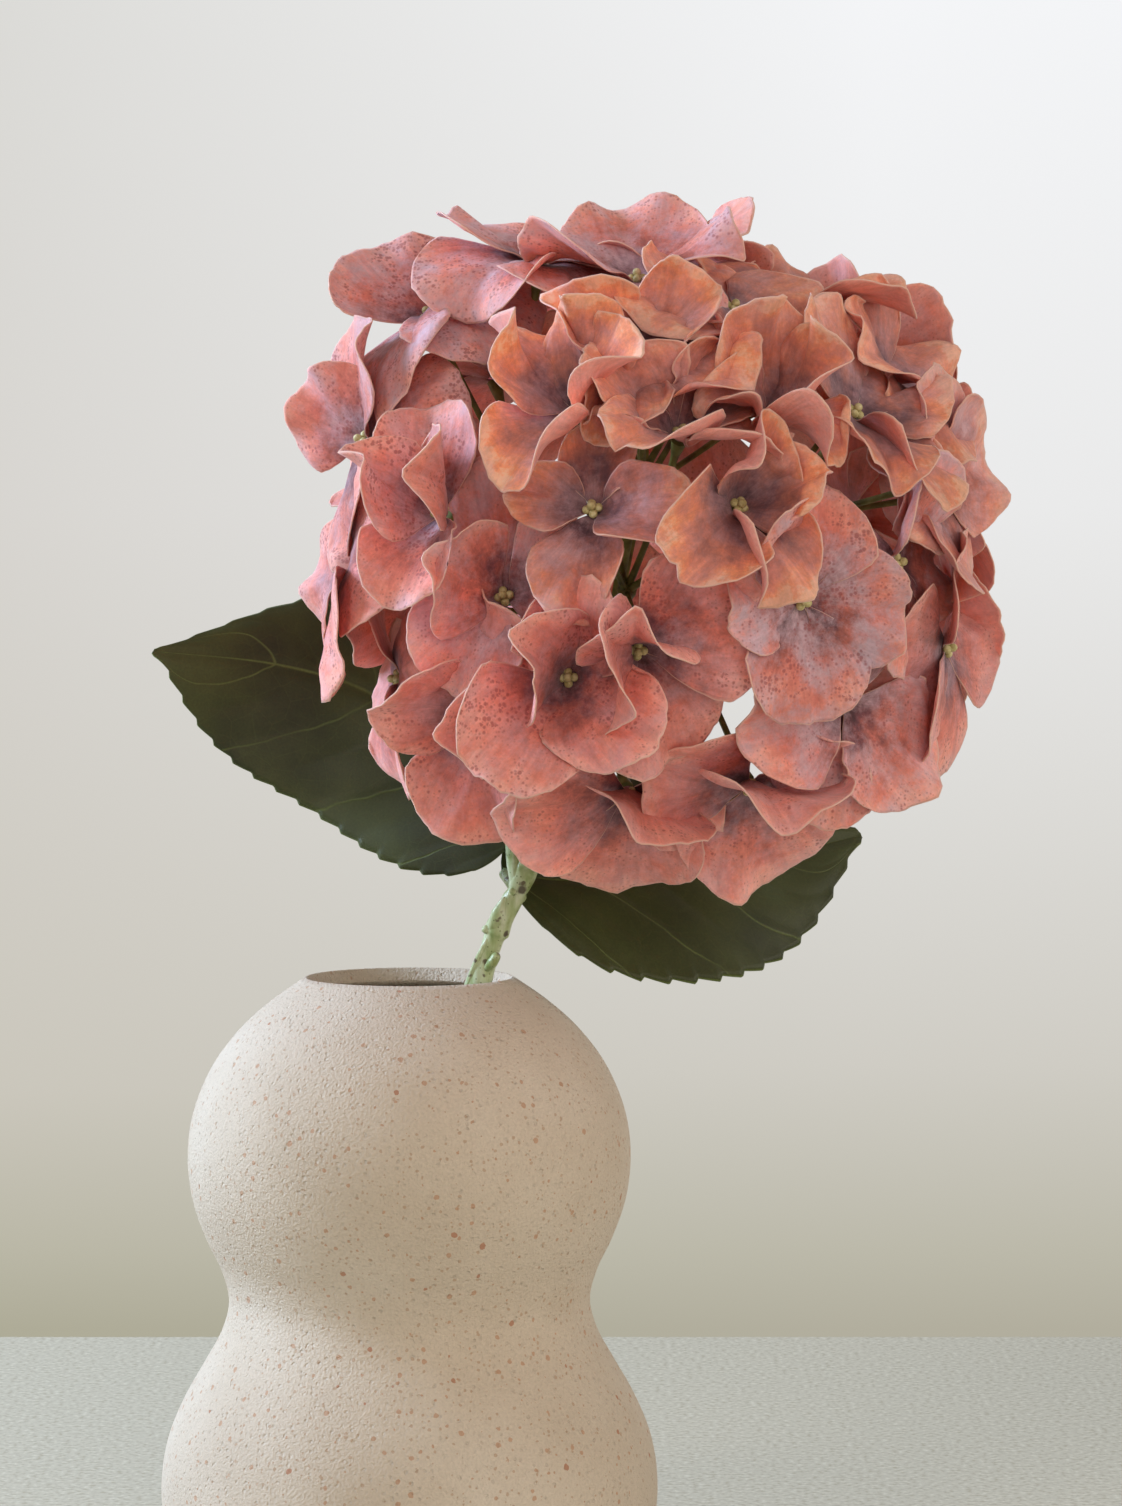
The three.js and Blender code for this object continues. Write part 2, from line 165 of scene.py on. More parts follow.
camera = bpy.data.objects.new("camera", bpy.data.cameras.new("camera"))
camera.data.lens = 95.6
camera.location = (0.038, -1.0, 0.259)
camera.rotation_euler = (math.radians(88), 0, 0)  # looking 2 degrees down
scene.collection.objects.link(camera)
scene.camera = camera

# ---- Vase -----------------------------------------------------------------------------
# One thrown and turned shell of two bulbs, with a sharp cut rim and a flat foot. It is
# sandy stoneware, fired bare, so it is dry, finely pitted and freckled with iron.

VASE_WALL = 0.004
VASE_FLOOR = 0.006
VASE_ROUND = 193  # points round the turned shell, the last on the first
FOOT_FLAT = 0.02  # radius of the flat middle of its foot and floor
# Radii of the outside in mm, with the height of each: foot, belly, waist, shoulder and rim.
VASE_PROFILE = [(0.0, 38.4), (0.5, 39.5), (1.4, 40.3), (8, 48.8), (19, 56.9), (30, 61.2), (41, 62.3),
                (52, 60.7), (62, 56.7), (71, 51.6), (79, 47.2), (87, 45.3), (95, 47.2), (103, 51.0),
                (113, 54.4), (124, 55.5), (135, 53.9), (146, 49.2), (155, 42.4), (162, 34.6), (168, 26.0)]


def smooth_line(points, steps):
    """Points along a Catmull-Rom line through the given ones."""
    points = [Vector(p) for p in points]
    padded = [points[0] * 2 - points[1], *points, points[-1] * 2 - points[-2]]
    line = []
    for i in range(len(points) - 1):
        a, b, c, d = padded[i : i + 4]
        for k in range(steps):
            t = k / steps
            line.append(0.5 * ((2 * b) + (c - a) * t + (2 * a - 5 * b + 4 * c - d) * t**2
                               + (3 * b - a - 3 * c + d) * t**3))
    return line + [points[-1]]


def node_modelled(name, tree, values, seed_mesh):
    """Runs a Geometry Nodes tree on a mesh and keeps the result as a plain mesh object."""
    piece = bpy.data.objects.new(name, seed_mesh)
    scene.collection.objects.link(piece)
    modifier = piece.modifiers.new(name, "NODES")
    modifier.node_group = tree
    for item in tree.interface.items_tree:
        if item.item_type == "SOCKET" and item.in_out == "INPUT" and item.name in values:
            modifier[item.identifier] = values[item.name]
    evaluated = piece.evaluated_get(bpy.context.evaluated_depsgraph_get())
    mesh = bpy.data.meshes.new_from_object(evaluated)
    mesh.name = name
    piece.modifiers.remove(modifier)
    piece.data = mesh
    return piece


def new_tree(name, sizes):
    """A Geometry Nodes tree with a geometry in and out and named inputs for its sizes."""
    tree = bpy.data.node_groups.new(name, "GeometryNodeTree")
    tree.interface.new_socket("Geometry", in_out="OUTPUT", socket_type="NodeSocketGeometry")
    tree.interface.new_socket("Geometry", in_out="INPUT", socket_type="NodeSocketGeometry")
    for size, kind in sizes.items():
        tree.interface.new_socket(size, in_out="INPUT", socket_type=kind)
    return tree, node(tree, "NodeGroupInput").outputs, node(tree, "NodeGroupOutput")


def line_mesh(name, points):
    """A mesh of one line of edges."""
    mesh = bpy.data.meshes.new(name)
    mesh.from_pydata([tuple(p) for p in points], [(i, i + 1) for i in range(len(points) - 1)], [])
    return mesh


# Bare stoneware: sandy grit under 1 mm and pits about 1 mm wide for relief, rust freckles
# up to 2 mm wide, and faint clouds of shade. It gives a dry surface with no gloss.
stoneware, tree, shader = new_material("bare_stoneware", Roughness=0.82)
shader.inputs["Specular IOR Level"].default_value = 0.35
place = node(tree, "ShaderNodeTexCoord").outputs["Object"]
clouds = node(tree, "ShaderNodeTexNoise", {"Vector": place, "Scale": 22.0, "Detail": 3.0})
body = node(tree, "ShaderNodeValToRGB", {0: clouds.outputs["Fac"]},
            [(0.3, "#cabba6"), (0.52, "#d2c4b0"), (0.72, "#d9cdbb")])
sand = node(tree, "ShaderNodeTexNoise", {"Vector": place, "Scale": 1500.0, "Detail": 2.0})
sanded = node(tree, "ShaderNodeMapRange", {"Value": sand.outputs["Fac"], 1: 0.3, 2: 0.7, 3: 0.93, 4: 1.05})
ground = node(tree, "ShaderNodeMix", {0: 1.0, 6: body.outputs[0], 7: sanded.outputs[0]},
              data_type="RGBA", blend_type="MULTIPLY")
wobble = node(tree, "ShaderNodeTexNoise", {"Vector": place, "Scale": 900.0, "Detail": 1.0})
jitter = node(tree, "ShaderNodeVectorMath", {0: wobble.outputs["Color"], "Scale": 0.0007}, operation="SCALE")
shaken = node(tree, "ShaderNodeVectorMath", {0: place, 1: jitter.outputs[0]}, operation="ADD")
coloured = ground.outputs[2]
# Freckles in three sizes: cells to the metre, the widest freckle's radius to its cell, the
# share of cells with none, and a colour with its strength.
for cells, reach, rarity, colour, depth in ((340.0, 0.26, 0.28, "#b8845e", 0.62),
                                            (150.0, 0.14, 0.50, "#ad6f4c", 0.75),
                                            (700.0, 0.34, 0.20, "#b08c6c", 0.55)):
    cell = node(tree, "ShaderNodeTexVoronoi", {"Vector": shaken.outputs[0], "Scale": cells})
    chance = node(tree, "ShaderNodeSeparateXYZ", {0: cell.outputs["Color"]})
    size = node(tree, "ShaderNodeMapRange", {"Value": chance.outputs[0], 1: rarity, 2: 1.0, 3: 0.0, 4: reach})
    dot = node(tree, "ShaderNodeMath", {0: cell.outputs["Distance"], 1: size.outputs[0]},
               operation="LESS_THAN")
    amount = node(tree, "ShaderNodeMath", {0: dot.outputs[0], 1: depth}, operation="MULTIPLY")
    mixed = node(tree, "ShaderNodeMix", {0: amount.outputs[0], 6: coloured, 7: linear(colour)},
                 data_type="RGBA")
    coloured = mixed.outputs[2]
tree.links.new(coloured, shader.inputs["Base Color"])
grit = node(tree, "ShaderNodeTexNoise",
            {"Vector": place, "Scale": 1500.0, "Detail": 2.0, "Roughness": 0.6})
pits = node(tree, "ShaderNodeTexVoronoi", {"Vector": shaken.outputs[0], "Scale": 620.0})
chance = node(tree, "ShaderNodeSeparateXYZ", {0: pits.outputs["Color"]})
depth = node(tree, "ShaderNodeMath", {0: chance.outputs[0], 1: -1.0}, operation="MULTIPLY")
pitted = node(tree, "ShaderNodeMapRange",
              {"Value": pits.outputs["Distance"], 1: 0.05, 2: 0.36, 3: 1.0, 4: 0.0},
              interpolation_type="SMOOTHSTEP")
relief = node(tree, "ShaderNodeMath",
              {0: pitted.outputs[0], 1: depth.outputs[0], 2: grit.outputs["Fac"]}, operation="MULTIPLY_ADD")
bump = node(tree, "ShaderNodeBump", {"Height": relief.outputs[0], "Strength": 0.7, "Distance": 0.0006})
tree.links.new(bump.outputs[0], shader.inputs["Normal"])

# The outside up to the rim, the cut edge, the inner wall one wall's thickness in, and the floor.
outside = smooth_line([(r / 1000, z / 1000) for z, r in VASE_PROFILE], 6)
inside = []
for i, point in enumerate(outside):
    way = outside[min(i + 1, len(outside) - 1)] - outside[max(i - 1, 0)]
    inner = point + Vector((-way.y, way.x)).normalized() * VASE_WALL
    if inner.y > VASE_FLOOR + 0.003:
        inside.append(inner)
edge = [outside[-1] + Vector((-0.00035, -0.00012)), inside[-1].lerp(outside[-1], 0.12)]
foot = [Vector((0, 0)), Vector((FOOT_FLAT, 0)), Vector((outside[0].x - 0.0006, 0))]
floor = [Vector((inside[0].x - 0.0015, VASE_FLOOR + 0.0006)), Vector((inside[0].x - 0.004, VASE_FLOOR)),
         Vector((FOOT_FLAT, VASE_FLOOR)), Vector((0, VASE_FLOOR))]
turned = foot + outside + edge + inside[::-1] + floor

# The tree turns the profile round the axis: a grid's first side runs along it, the other round.
tree, given, out = new_tree("turned_shell", {
    "Steps Along": "NodeSocketInt", "Steps Around": "NodeSocketInt", "Material": "NodeSocketMaterial"})
sheet = node(tree, "GeometryNodeMeshGrid", {
    "Size X": 1.0, "Size Y": 1.0, "Vertices X": given["Steps Along"], "Vertices Y": given["Steps Around"]})
spot = node(tree, "ShaderNodeSeparateXYZ", {0: node(tree, "GeometryNodeInputPosition").outputs[0]})
along = node(tree, "ShaderNodeMath", {0: spot.outputs["X"], 1: 0.5}, operation="ADD")
turn = node(tree, "ShaderNodeMath", {0: spot.outputs["Y"], 1: -math.tau}, operation="MULTIPLY")
profile = node(tree, "GeometryNodeMeshToCurve", {"Mesh": given["Geometry"]})
count = node(tree, "ShaderNodeMath", {0: given["Steps Along"], 1: 1.0}, operation="SUBTRACT")
level = node(tree, "ShaderNodeMath", {0: along.outputs[0], 1: count.outputs[0]}, operation="MULTIPLY")
level = node(tree, "ShaderNodeMath", {0: level.outputs[0], 1: 0.0}, operation="ROUND")
sampled = node(tree, "GeometryNodeSampleIndex", {
    "Geometry": profile.outputs[0], "Value": node(tree, "GeometryNodeInputPosition").outputs[0],
    "Index": level.outputs[0]}, data_type="FLOAT_VECTOR")
radius = node(tree, "ShaderNodeSeparateXYZ", {0: sampled.outputs[0]})
cosine = node(tree, "ShaderNodeMath", {0: turn.outputs[0]}, operation="COSINE")
sine = node(tree, "ShaderNodeMath", {0: turn.outputs[0]}, operation="SINE")
across = node(tree, "ShaderNodeMath", {0: radius.outputs["X"], 1: cosine.outputs[0]}, operation="MULTIPLY")
deep = node(tree, "ShaderNodeMath", {0: radius.outputs["X"], 1: sine.outputs[0]}, operation="MULTIPLY")
spun = node(tree, "ShaderNodeCombineXYZ", {0: across.outputs[0], 1: deep.outputs[0], 2: radius.outputs["Z"]})
placed = node(tree, "GeometryNodeSetPosition", {"Geometry": sheet.outputs[0], "Position": spun.outputs[0]})
closed = node(tree, "GeometryNodeMergeByDistance", {"Geometry": placed.outputs[0], "Distance": 0.00002})
soft = node(tree, "GeometryNodeSetShadeSmooth", {"Geometry": closed.outputs[0]})
whole = node(tree, "GeometryNodeRealizeInstances", {0: soft.outputs[0]})
clay = node(tree, "GeometryNodeSetMaterial", {"Geometry": whole.outputs[0], "Material": given["Material"]})
tree.links.new(clay.outputs[0], out.inputs[0])
vase = node_modelled("vase_shell", tree,
                     {"Steps Along": len(turned), "Steps Around": VASE_ROUND, "Material": stoneware},
                     line_mesh("vase_profile", [(p.x, 0, p.y) for p in turned]))
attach(vase, "root")
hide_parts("vase")

# ---- Stem -----------------------------------------------------------------------------
# A moulded plastic stem over wire. It stands on the vase's floor, leans on the rim and runs
# up into the flower, with knuckles, bud stumps and brown leaf scars where it shows.

# Its line in mm: foot, middle, rim, first knuckle, fork, the cut side shoot, up to the core.
STEM_LINE = [(-35.7, 15.2, 7.8), (-9, 3.4, 87.9), (17.8, -8.3, 168), (22.1, -10.2, 180.3),
             (27.6, -11.6, 191.5), (31.9, -13.4, 203.5), (38, -16, 216), (47.4, -20.6, 239.3)]
# Its radius in mm at heights in mm: even below the rim, then collars on its knuckles, and the
# step where the side shoot was cut.
STEM_WIDTHS = [(7, 3.4), (160, 3.3), (169, 3.1), (175, 2.5), (179.2, 2.7), (180.0, 3.4), (181.5, 3.2),
               (183, 2.8), (188.5, 2.6), (190.2, 2.2), (190.8, 2.5), (193, 2.9), (196, 3.1), (199, 2.7),
               (203, 2.9), (203.8, 2.6), (204.4, 1.9), (215, 2.1), (238, 2.4)]
# Stumps and ribs on it, each a line in mm and its radii in mm along that: a bud, a stump on
# the first knuckle, a leaf sheath that hugs the stem, a rib at the rim, and small buds.
STEM_SHOOTS = [
    ([(19.6, -10.8, 171.0), (21.0, -12.6, 172.6), (22.4, -13.2, 175.0)], (1.0, 1.35, 1.1)),
    ([(21.4, -10.4, 180.0), (19.8, -11.4, 180.6), (18.7, -11.9, 181.4)], (1.3, 1.2, 1.0)),
    ([(21.2, -11.6, 181.0), (22.4, -13.0, 184.5), (24.1, -13.6, 189.0)], (1.7, 1.8, 0.5)),
    ([(14.4, -8.6, 163.0), (16.0, -9.9, 170.0), (18.8, -11.6, 176.5), (20.4, -11.6, 179.5)],
     (0.8, 0.8, 0.75, 0.5)),
    ([(23.8, -10.6, 179.0), (25.0, -11.6, 179.8)], (0.9, 0.5)),
    ([(26.6, -13.4, 190.0), (25.2, -14.0, 190.9)], (1.0, 0.6)),
    ([(29.6, -13.0, 194.0), (31.2, -14.2, 195.4)], (1.2, 0.7)),
]
STEM_SIDES, SHOOT_SIDES = 28, 14
SCAR_RAGGED = 0.0022  # how far the scars' outlines wander
# Brown scars: places in mm and their sizes in mm.
STEM_SCARS = [((28.6, -14.2, 190.6), 1.7), ((27.2, -14.4, 189.2), 0.9), ((30.6, -16.0, 198.5), 1.0),
              ((31.0, -15.6, 202.6), 1.2), ((24.9, -12.4, 179.6), 1.3), ((24.4, -12.6, 176.6), 1.0)]


def even_line(points, step):
    """Points a step apart along a smooth line, and their directions."""
    fine = smooth_line(points, 24)
    far = np.concatenate([[0], np.cumsum([(b - a).length for a, b in zip(fine, fine[1:])])])
    at = np.linspace(0, far[-1], max(3, int(far[-1] / step) + 1))
    line = np.stack([np.interp(at, far, [p[i] for p in fine]) for i in range(3)], axis=1)
    way = np.gradient(line, axis=0)
    return line, way / np.linalg.norm(way, axis=1, keepdims=True)


def tube(line, way, radii, sides):
    """Points and faces of a closed tube. radii is one number a point, or one for each side too."""
    across = np.cross(way, (0.2, 1.0, 0.1))
    across /= np.linalg.norm(across, axis=1, keepdims=True)
    other = np.cross(way, across)
    turn = np.arange(sides) * math.tau / sides
    radii = np.broadcast_to(np.asarray(radii).reshape(len(line), -1), (len(line), sides))
    ring = np.cos(turn)[None, :, None] * across[:, None] + np.sin(turn)[None, :, None] * other[:, None]
    points = (line[:, None] + ring * radii[..., None]).reshape(-1, 3)
    faces = []
    for k in range(len(line) - 1):
        for i in range(sides):
            j = (i + 1) % sides
            faces.append((k * sides + i, k * sides + j, (k + 1) * sides + j, (k + 1) * sides + i))
    ends = np.array([line[0], line[-1]])
    first, last = len(points), len(points) + 1
    top = (len(line) - 1) * sides
    faces += [(first, (i + 1) % sides, i) for i in range(sides)]
    faces += [(last, top + i, top + (i + 1) % sides) for i in range(sides)]
    return np.concatenate([points, ends]), faces


# Moulded polythene, painted: pale green, with olive streaks along it and brown scars. It looks
# wet next to the matt petals.
stalk_plastic, tree, shader = new_material("painted_polythene_stem", Roughness=0.36, IOR=1.5)
place = node(tree, "ShaderNodeTexCoord").outputs["Object"]
long_way = node(tree, "ShaderNodeMapping", {0: place, "Rotation": (0.0, 0.35, 0.0), "Scale": (1.0, 1.0, 0.22)})
streaks = node(tree, "ShaderNodeTexNoise", {"Vector": long_way.outputs[0], "Scale": 420.0, "Detail": 4.0})
green = node(tree, "ShaderNodeValToRGB", {0: streaks.outputs["Fac"]},
             [(0.28, "#8ea366"), (0.45, "#afbe8a"), (0.6, "#c3cfa6"), (0.75, "#d8e1c6")])
patches = node(tree, "ShaderNodeTexNoise", {"Vector": place, "Scale": 170.0, "Detail": 3.0, "Roughness": 0.6})
olive = node(tree, "ShaderNodeMapRange", {"Value": patches.outputs["Fac"], 1: 0.52, 2: 0.66, 3: 0.0, 4: 0.65})
greens = node(tree, "ShaderNodeMix", {0: olive.outputs[0], 6: green.outputs[0], 7: linear("#77853c")},
              data_type="RGBA")
scars = node(tree, "ShaderNodeTexNoise", {"Vector": place, "Scale": 300.0, "Detail": 2.0, "Roughness": 0.5})
scarred = node(tree, "ShaderNodeMapRange", {"Value": scars.outputs["Fac"], 1: 0.63, 2: 0.68, 3: 0.0, 4: 0.9})
barked = node(tree, "ShaderNodeMix", {0: scarred.outputs[0], 6: greens.outputs[2], 7: linear("#57452f")},
              data_type="RGBA")
pores = node(tree, "ShaderNodeTexVoronoi", {"Vector": place, "Scale": 750.0})
pore = node(tree, "ShaderNodeMapRange", {"Value": pores.outputs["Distance"], 1: 0.12, 2: 0.2, 3: 0.7, 4: 0.0})
pored = node(tree, "ShaderNodeMix", {0: pore.outputs[0], 6: barked.outputs[2], 7: linear("#5c6a34")},
             data_type="RGBA")
stained = pored.outputs[2]
ragged = node(tree, "ShaderNodeVectorMath", {0: scars.outputs["Color"], "Scale": SCAR_RAGGED},
              operation="SCALE")
ragged = node(tree, "ShaderNodeVectorMath", {0: ragged.outputs[0], 1: place}, operation="ADD")
for spot, size in STEM_SCARS:
    centre = tuple(c / 1000 + SCAR_RAGGED / 2 for c in spot)
    far = node(tree, "ShaderNodeVectorMath", {0: ragged.outputs[0], 1: centre}, operation="DISTANCE")
    scar = node(tree, "ShaderNodeMapRange",
                {"Value": far.outputs["Value"], 1: size * 0.0007, 2: size * 0.001, 3: 0.9, 4: 0.0})
    stain = node(tree, "ShaderNodeMix", {0: scar.outputs[0], 6: stained, 7: linear("#4a3a2a")},
                 data_type="RGBA")
    stained = stain.outputs[2]
tree.links.new(stained, shader.inputs["Base Color"])
lumps = node(tree, "ShaderNodeMath", {0: patches.outputs["Fac"], 1: streaks.outputs["Fac"]}, operation="ADD")
bump = node(tree, "ShaderNodeBump", {"Height": lumps.outputs[0], "Strength": 0.6, "Distance": 0.0008})
tree.links.new(bump.outputs[0], shader.inputs["Normal"])

line, way = even_line([Vector(p) / 1000 for p in STEM_LINE], 0.0005)
turn = np.arange(STEM_SIDES) * math.tau / STEM_SIDES
height = line[:, 2:3] * 1000
radii = np.interp(height, *zip(*STEM_WIDTHS)) / 1000
# It is a little oval and fluted, turning as it climbs.
radii = radii * (1 + 0.03 * np.sin(2 * turn + height / 6) + 0.025 * np.sin(3 * turn - height / 3)
                 + 0.012 * np.sin(7 * turn + height * 1.7))
points, faces = tube(line, way, radii, STEM_SIDES)
for shoot, widths in STEM_SHOOTS:
    stub, along = even_line([Vector(p) / 1000 for p in shoot], 0.0004)
    share = np.linspace(0, 1, len(stub))
    blunt = np.sqrt(np.clip(1 - np.clip(share - 0.9, 0, 1) * 8, 0.05, 1))
    radii = np.interp(share, np.linspace(0, 1, len(widths)), widths) / 1000 * blunt
    more, sides = tube(stub, along, radii, SHOOT_SIDES)
    faces += [tuple(i + len(points) for i in face) for face in sides]
    points = np.concatenate([points, more])
stem = new_mesh("stem_rod", points, faces, stalk_plastic)
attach(stem, "root")
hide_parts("stem")

# ---- Leaves ---------------------------------------------------------------------------
# Two leaves of stamped cloth with a satin face, pressed into veins and cut with a toothed
# edge. A wired petiole and midrib on the back of each joins the stem at the fork.

LEAF_CLOTH = 0.0005
LEAF_ACROSS, LEAF_ALONG = 49, 221  # points of a finished leaf
SIDE_VEINS = 8
PETIOLE_SIDES = 12
# Each: the midrib in mm from base to tip, the way the face looks, half widths on either side
# in mm, the fold and droop, the number of teeth a side with their depth in mm, and the
# petiole's line and radii in mm.
LEAVES = {
    "leaf_left": dict(
        midrib=[(26.4, -8.6, 203.5), (14, 2, 218), (-8.2, 17.5, 237.5), (-33.2, 16.1, 246.0),
                (-64.2, 2.1, 249.8)],
        faces=(-0.12, -0.86, 0.5), low=33, high=31, fold=-9, droop=3.0, teeth=17, depth=1.0,
        petiole=[(27.8, -11.8, 192.0), (26.8, -12.0, 198), (25.9, -11.2, 203.0), (25.2, -9.6, 207)],
        stalk=(2.5, 2.5, 2.0, 0.9)),
    "leaf_right": dict(
        midrib=[(23.5, 1.5, 194), (42, 7, 192), (69, 20.5, 194.5), (95, 36, 197), (117, 48, 201)],
        faces=(0.30, -0.78, 0.55), low=33, high=28, fold=8, droop=4.5, teeth=15, depth=1.7,
        petiole=[(27.6, -10.2, 188.6), (26.6, -5.5, 190.8), (23.5, 1.5, 194)],
        stalk=(1.9, 1.7, 1.3)),
}

# Satin-faced cloth, dyed dark olive and pressed: a soft grey sheen on the swells between its
# veins, hair-thin yellow-green veins that curve to the tip, and a pale thread at the cut edge.
leaf_cloth, tree, shader = new_material("pressed_satin_leaf", Roughness=0.47)
shader.inputs["Specular IOR Level"].default_value = 0.36
shader.inputs["Sheen Weight"].default_value = 0.08
place = node(tree, "ShaderNodeTexCoord").outputs["Object"]
chart = node(tree, "ShaderNodeUVMap", uv_map="leaf")
wander = node(tree, "ShaderNodeTexNoise", {"Vector": place, "Scale": 60.0, "Detail": 2.0})
uv = node(tree, "ShaderNodeSeparateXYZ", {0: chart.outputs[0]})
back = node(tree, "ShaderNodeAttribute", attribute_name="side")
half = node(tree, "ShaderNodeMath", {0: uv.outputs["X"], 1: 0.5}, operation="SUBTRACT")
half = node(tree, "ShaderNodeMath", {0: half.outputs[0]}, operation="ABSOLUTE")
lean = node(tree, "ShaderNodeMath", {0: half.outputs[0], 1: 1.25}, operation="POWER")
lean = node(tree, "ShaderNodeMath", {0: lean.outputs[0], 1: 0.62}, operation="MULTIPLY")
sway = node(tree, "ShaderNodeMath", {0: wander.outputs["Fac"], 1: 0.05}, operation="MULTIPLY")
phase = node(tree, "ShaderNodeMath", {0: uv.outputs["Y"], 1: lean.outputs[0]}, operation="SUBTRACT")
phase = node(tree, "ShaderNodeMath", {0: phase.outputs[0], 1: sway.outputs[0]}, operation="ADD")
phase = node(tree, "ShaderNodeMath", {0: phase.outputs[0], 1: float(SIDE_VEINS)}, operation="MULTIPLY")
wave = node(tree, "ShaderNodeMath", {0: phase.outputs[0], 1: 1.0}, operation="PINGPONG")
side_vein = node(tree, "ShaderNodeMapRange", {"Value": wave.outputs[0], 1: 0.0, 2: 0.045, 3: 1.0, 4: 0.0})
middle_vein = node(tree, "ShaderNodeMapRange", {"Value": half.outputs[0], 1: 0.002, 2: 0.011, 3: 1.0, 4: 0.0})
mesh_cell = node(tree, "ShaderNodeTexVoronoi", {"Vector": place, "Scale": 150.0}, feature="DISTANCE_TO_EDGE")
mesh_vein = node(tree, "ShaderNodeMapRange",
                 {"Value": mesh_cell.outputs["Distance"], 1: 0.0, 2: 0.03, 3: 0.08, 4: 0.0})
rim = node(tree, "ShaderNodeMapRange", {"Value": half.outputs[0], 1: 0.494, 2: 0.499, 3: 0.0, 4: 0.9})
veins = node(tree, "ShaderNodeMath", {0: side_vein.outputs[0], 1: middle_vein.outputs[0]}, operation="MAXIMUM")
faint = node(tree, "ShaderNodeMapRange", {"Value": wander.outputs["Fac"], 1: 0.35, 2: 0.65, 3: 0.25, 4: 0.8})
veins = node(tree, "ShaderNodeMath", {0: veins.outputs[0], 1: faint.outputs[0]}, operation="MULTIPLY")
veins = node(tree, "ShaderNodeMath", {0: veins.outputs[0], 1: mesh_vein.outputs[0]}, operation="MAXIMUM")
veins = node(tree, "ShaderNodeMath", {0: veins.outputs[0], 1: rim.outputs[0]}, operation="MAXIMUM")
cloud = node(tree, "ShaderNodeTexNoise", {"Vector": place, "Scale": 35.0, "Detail": 4.0})
blade = node(tree, "ShaderNodeValToRGB", {0: cloud.outputs["Fac"]},
             [(0.3, "#2d3219"), (0.45, "#3a411e"), (0.58, "#434a22"), (0.72, "#49532d")])
sided = node(tree, "ShaderNodeMix", {0: back.outputs["Fac"], 6: blade.outputs[0], 7: linear("#5a6743")},
             data_type="RGBA")
veined = node(tree, "ShaderNodeMix", {0: veins.outputs[0], 6: sided.outputs[2], 7: linear("#66743a")},
              data_type="RGBA")
weave = node(tree, "ShaderNodeTexNoise", {"Vector": place, "Scale": 1800.0, "Detail": 1.0})
woven = node(tree, "ShaderNodeMapRange", {"Value": weave.outputs["Fac"], 1: 0.3, 2: 0.7, 3: 0.9, 4: 1.1})
cloth = node(tree, "ShaderNodeMix", {0: 1.0, 6: veined.outputs[2], 7: woven.outputs[0]},
             data_type="RGBA", blend_type="MULTIPLY")
tree.links.new(cloth.outputs[2], shader.inputs["Base Color"])
height = node(tree, "ShaderNodeMath", {0: veins.outputs[0], 1: -0.6}, operation="MULTIPLY")
height = node(tree, "ShaderNodeMath", {0: weave.outputs["Fac"], 1: 0.15, 2: height.outputs[0]},
              operation="MULTIPLY_ADD")
bump = node(tree, "ShaderNodeBump", {"Height": height.outputs[0], "Strength": 0.5, "Distance": 0.0004})
tree.links.new(bump.outputs[0], shader.inputs["Normal"])


def sheet_faces(first, rows, columns):
    """Faces of a thin sheet's shell: its upper side, its under side, and the edge between."""
    number = np.arange(rows * columns).reshape(rows, columns) + first
    step = rows * columns
    upper = np.stack([number[:-1, :-1], number[:-1, 1:], number[1:, 1:], number[1:, :-1]], axis=-1)
    upper = upper.reshape(-1, 4)
    loop = np.concatenate([number[0, :-1], number[:-1, -1], number[-1, :0:-1], number[:0:-1, 0]])
    after = np.roll(loop, -1)
    edge = np.stack([loop, loop + step, after + step, after], axis=-1)
    return np.concatenate([upper, upper[:, ::-1] + step, edge])


def two_sides(middle, normal, thickness):
    """Points of a sheet's two sides, from its middle surface."""
    return [(middle + normal * thickness / 2).reshape(-1, 3),
            (middle - normal * thickness / 2).reshape(-1, 3)]


def set_chart(piece, title, values):
    """Gives a mesh a UV map from one pair of numbers for each point."""
    corner = np.zeros(len(piece.data.loops), np.int32)
    piece.data.loops.foreach_get("vertex_index", corner)
    layer = piece.data.uv_layers.new(name=title)
    layer.data.foreach_set("uv", values[corner].astype(np.float32).ravel())


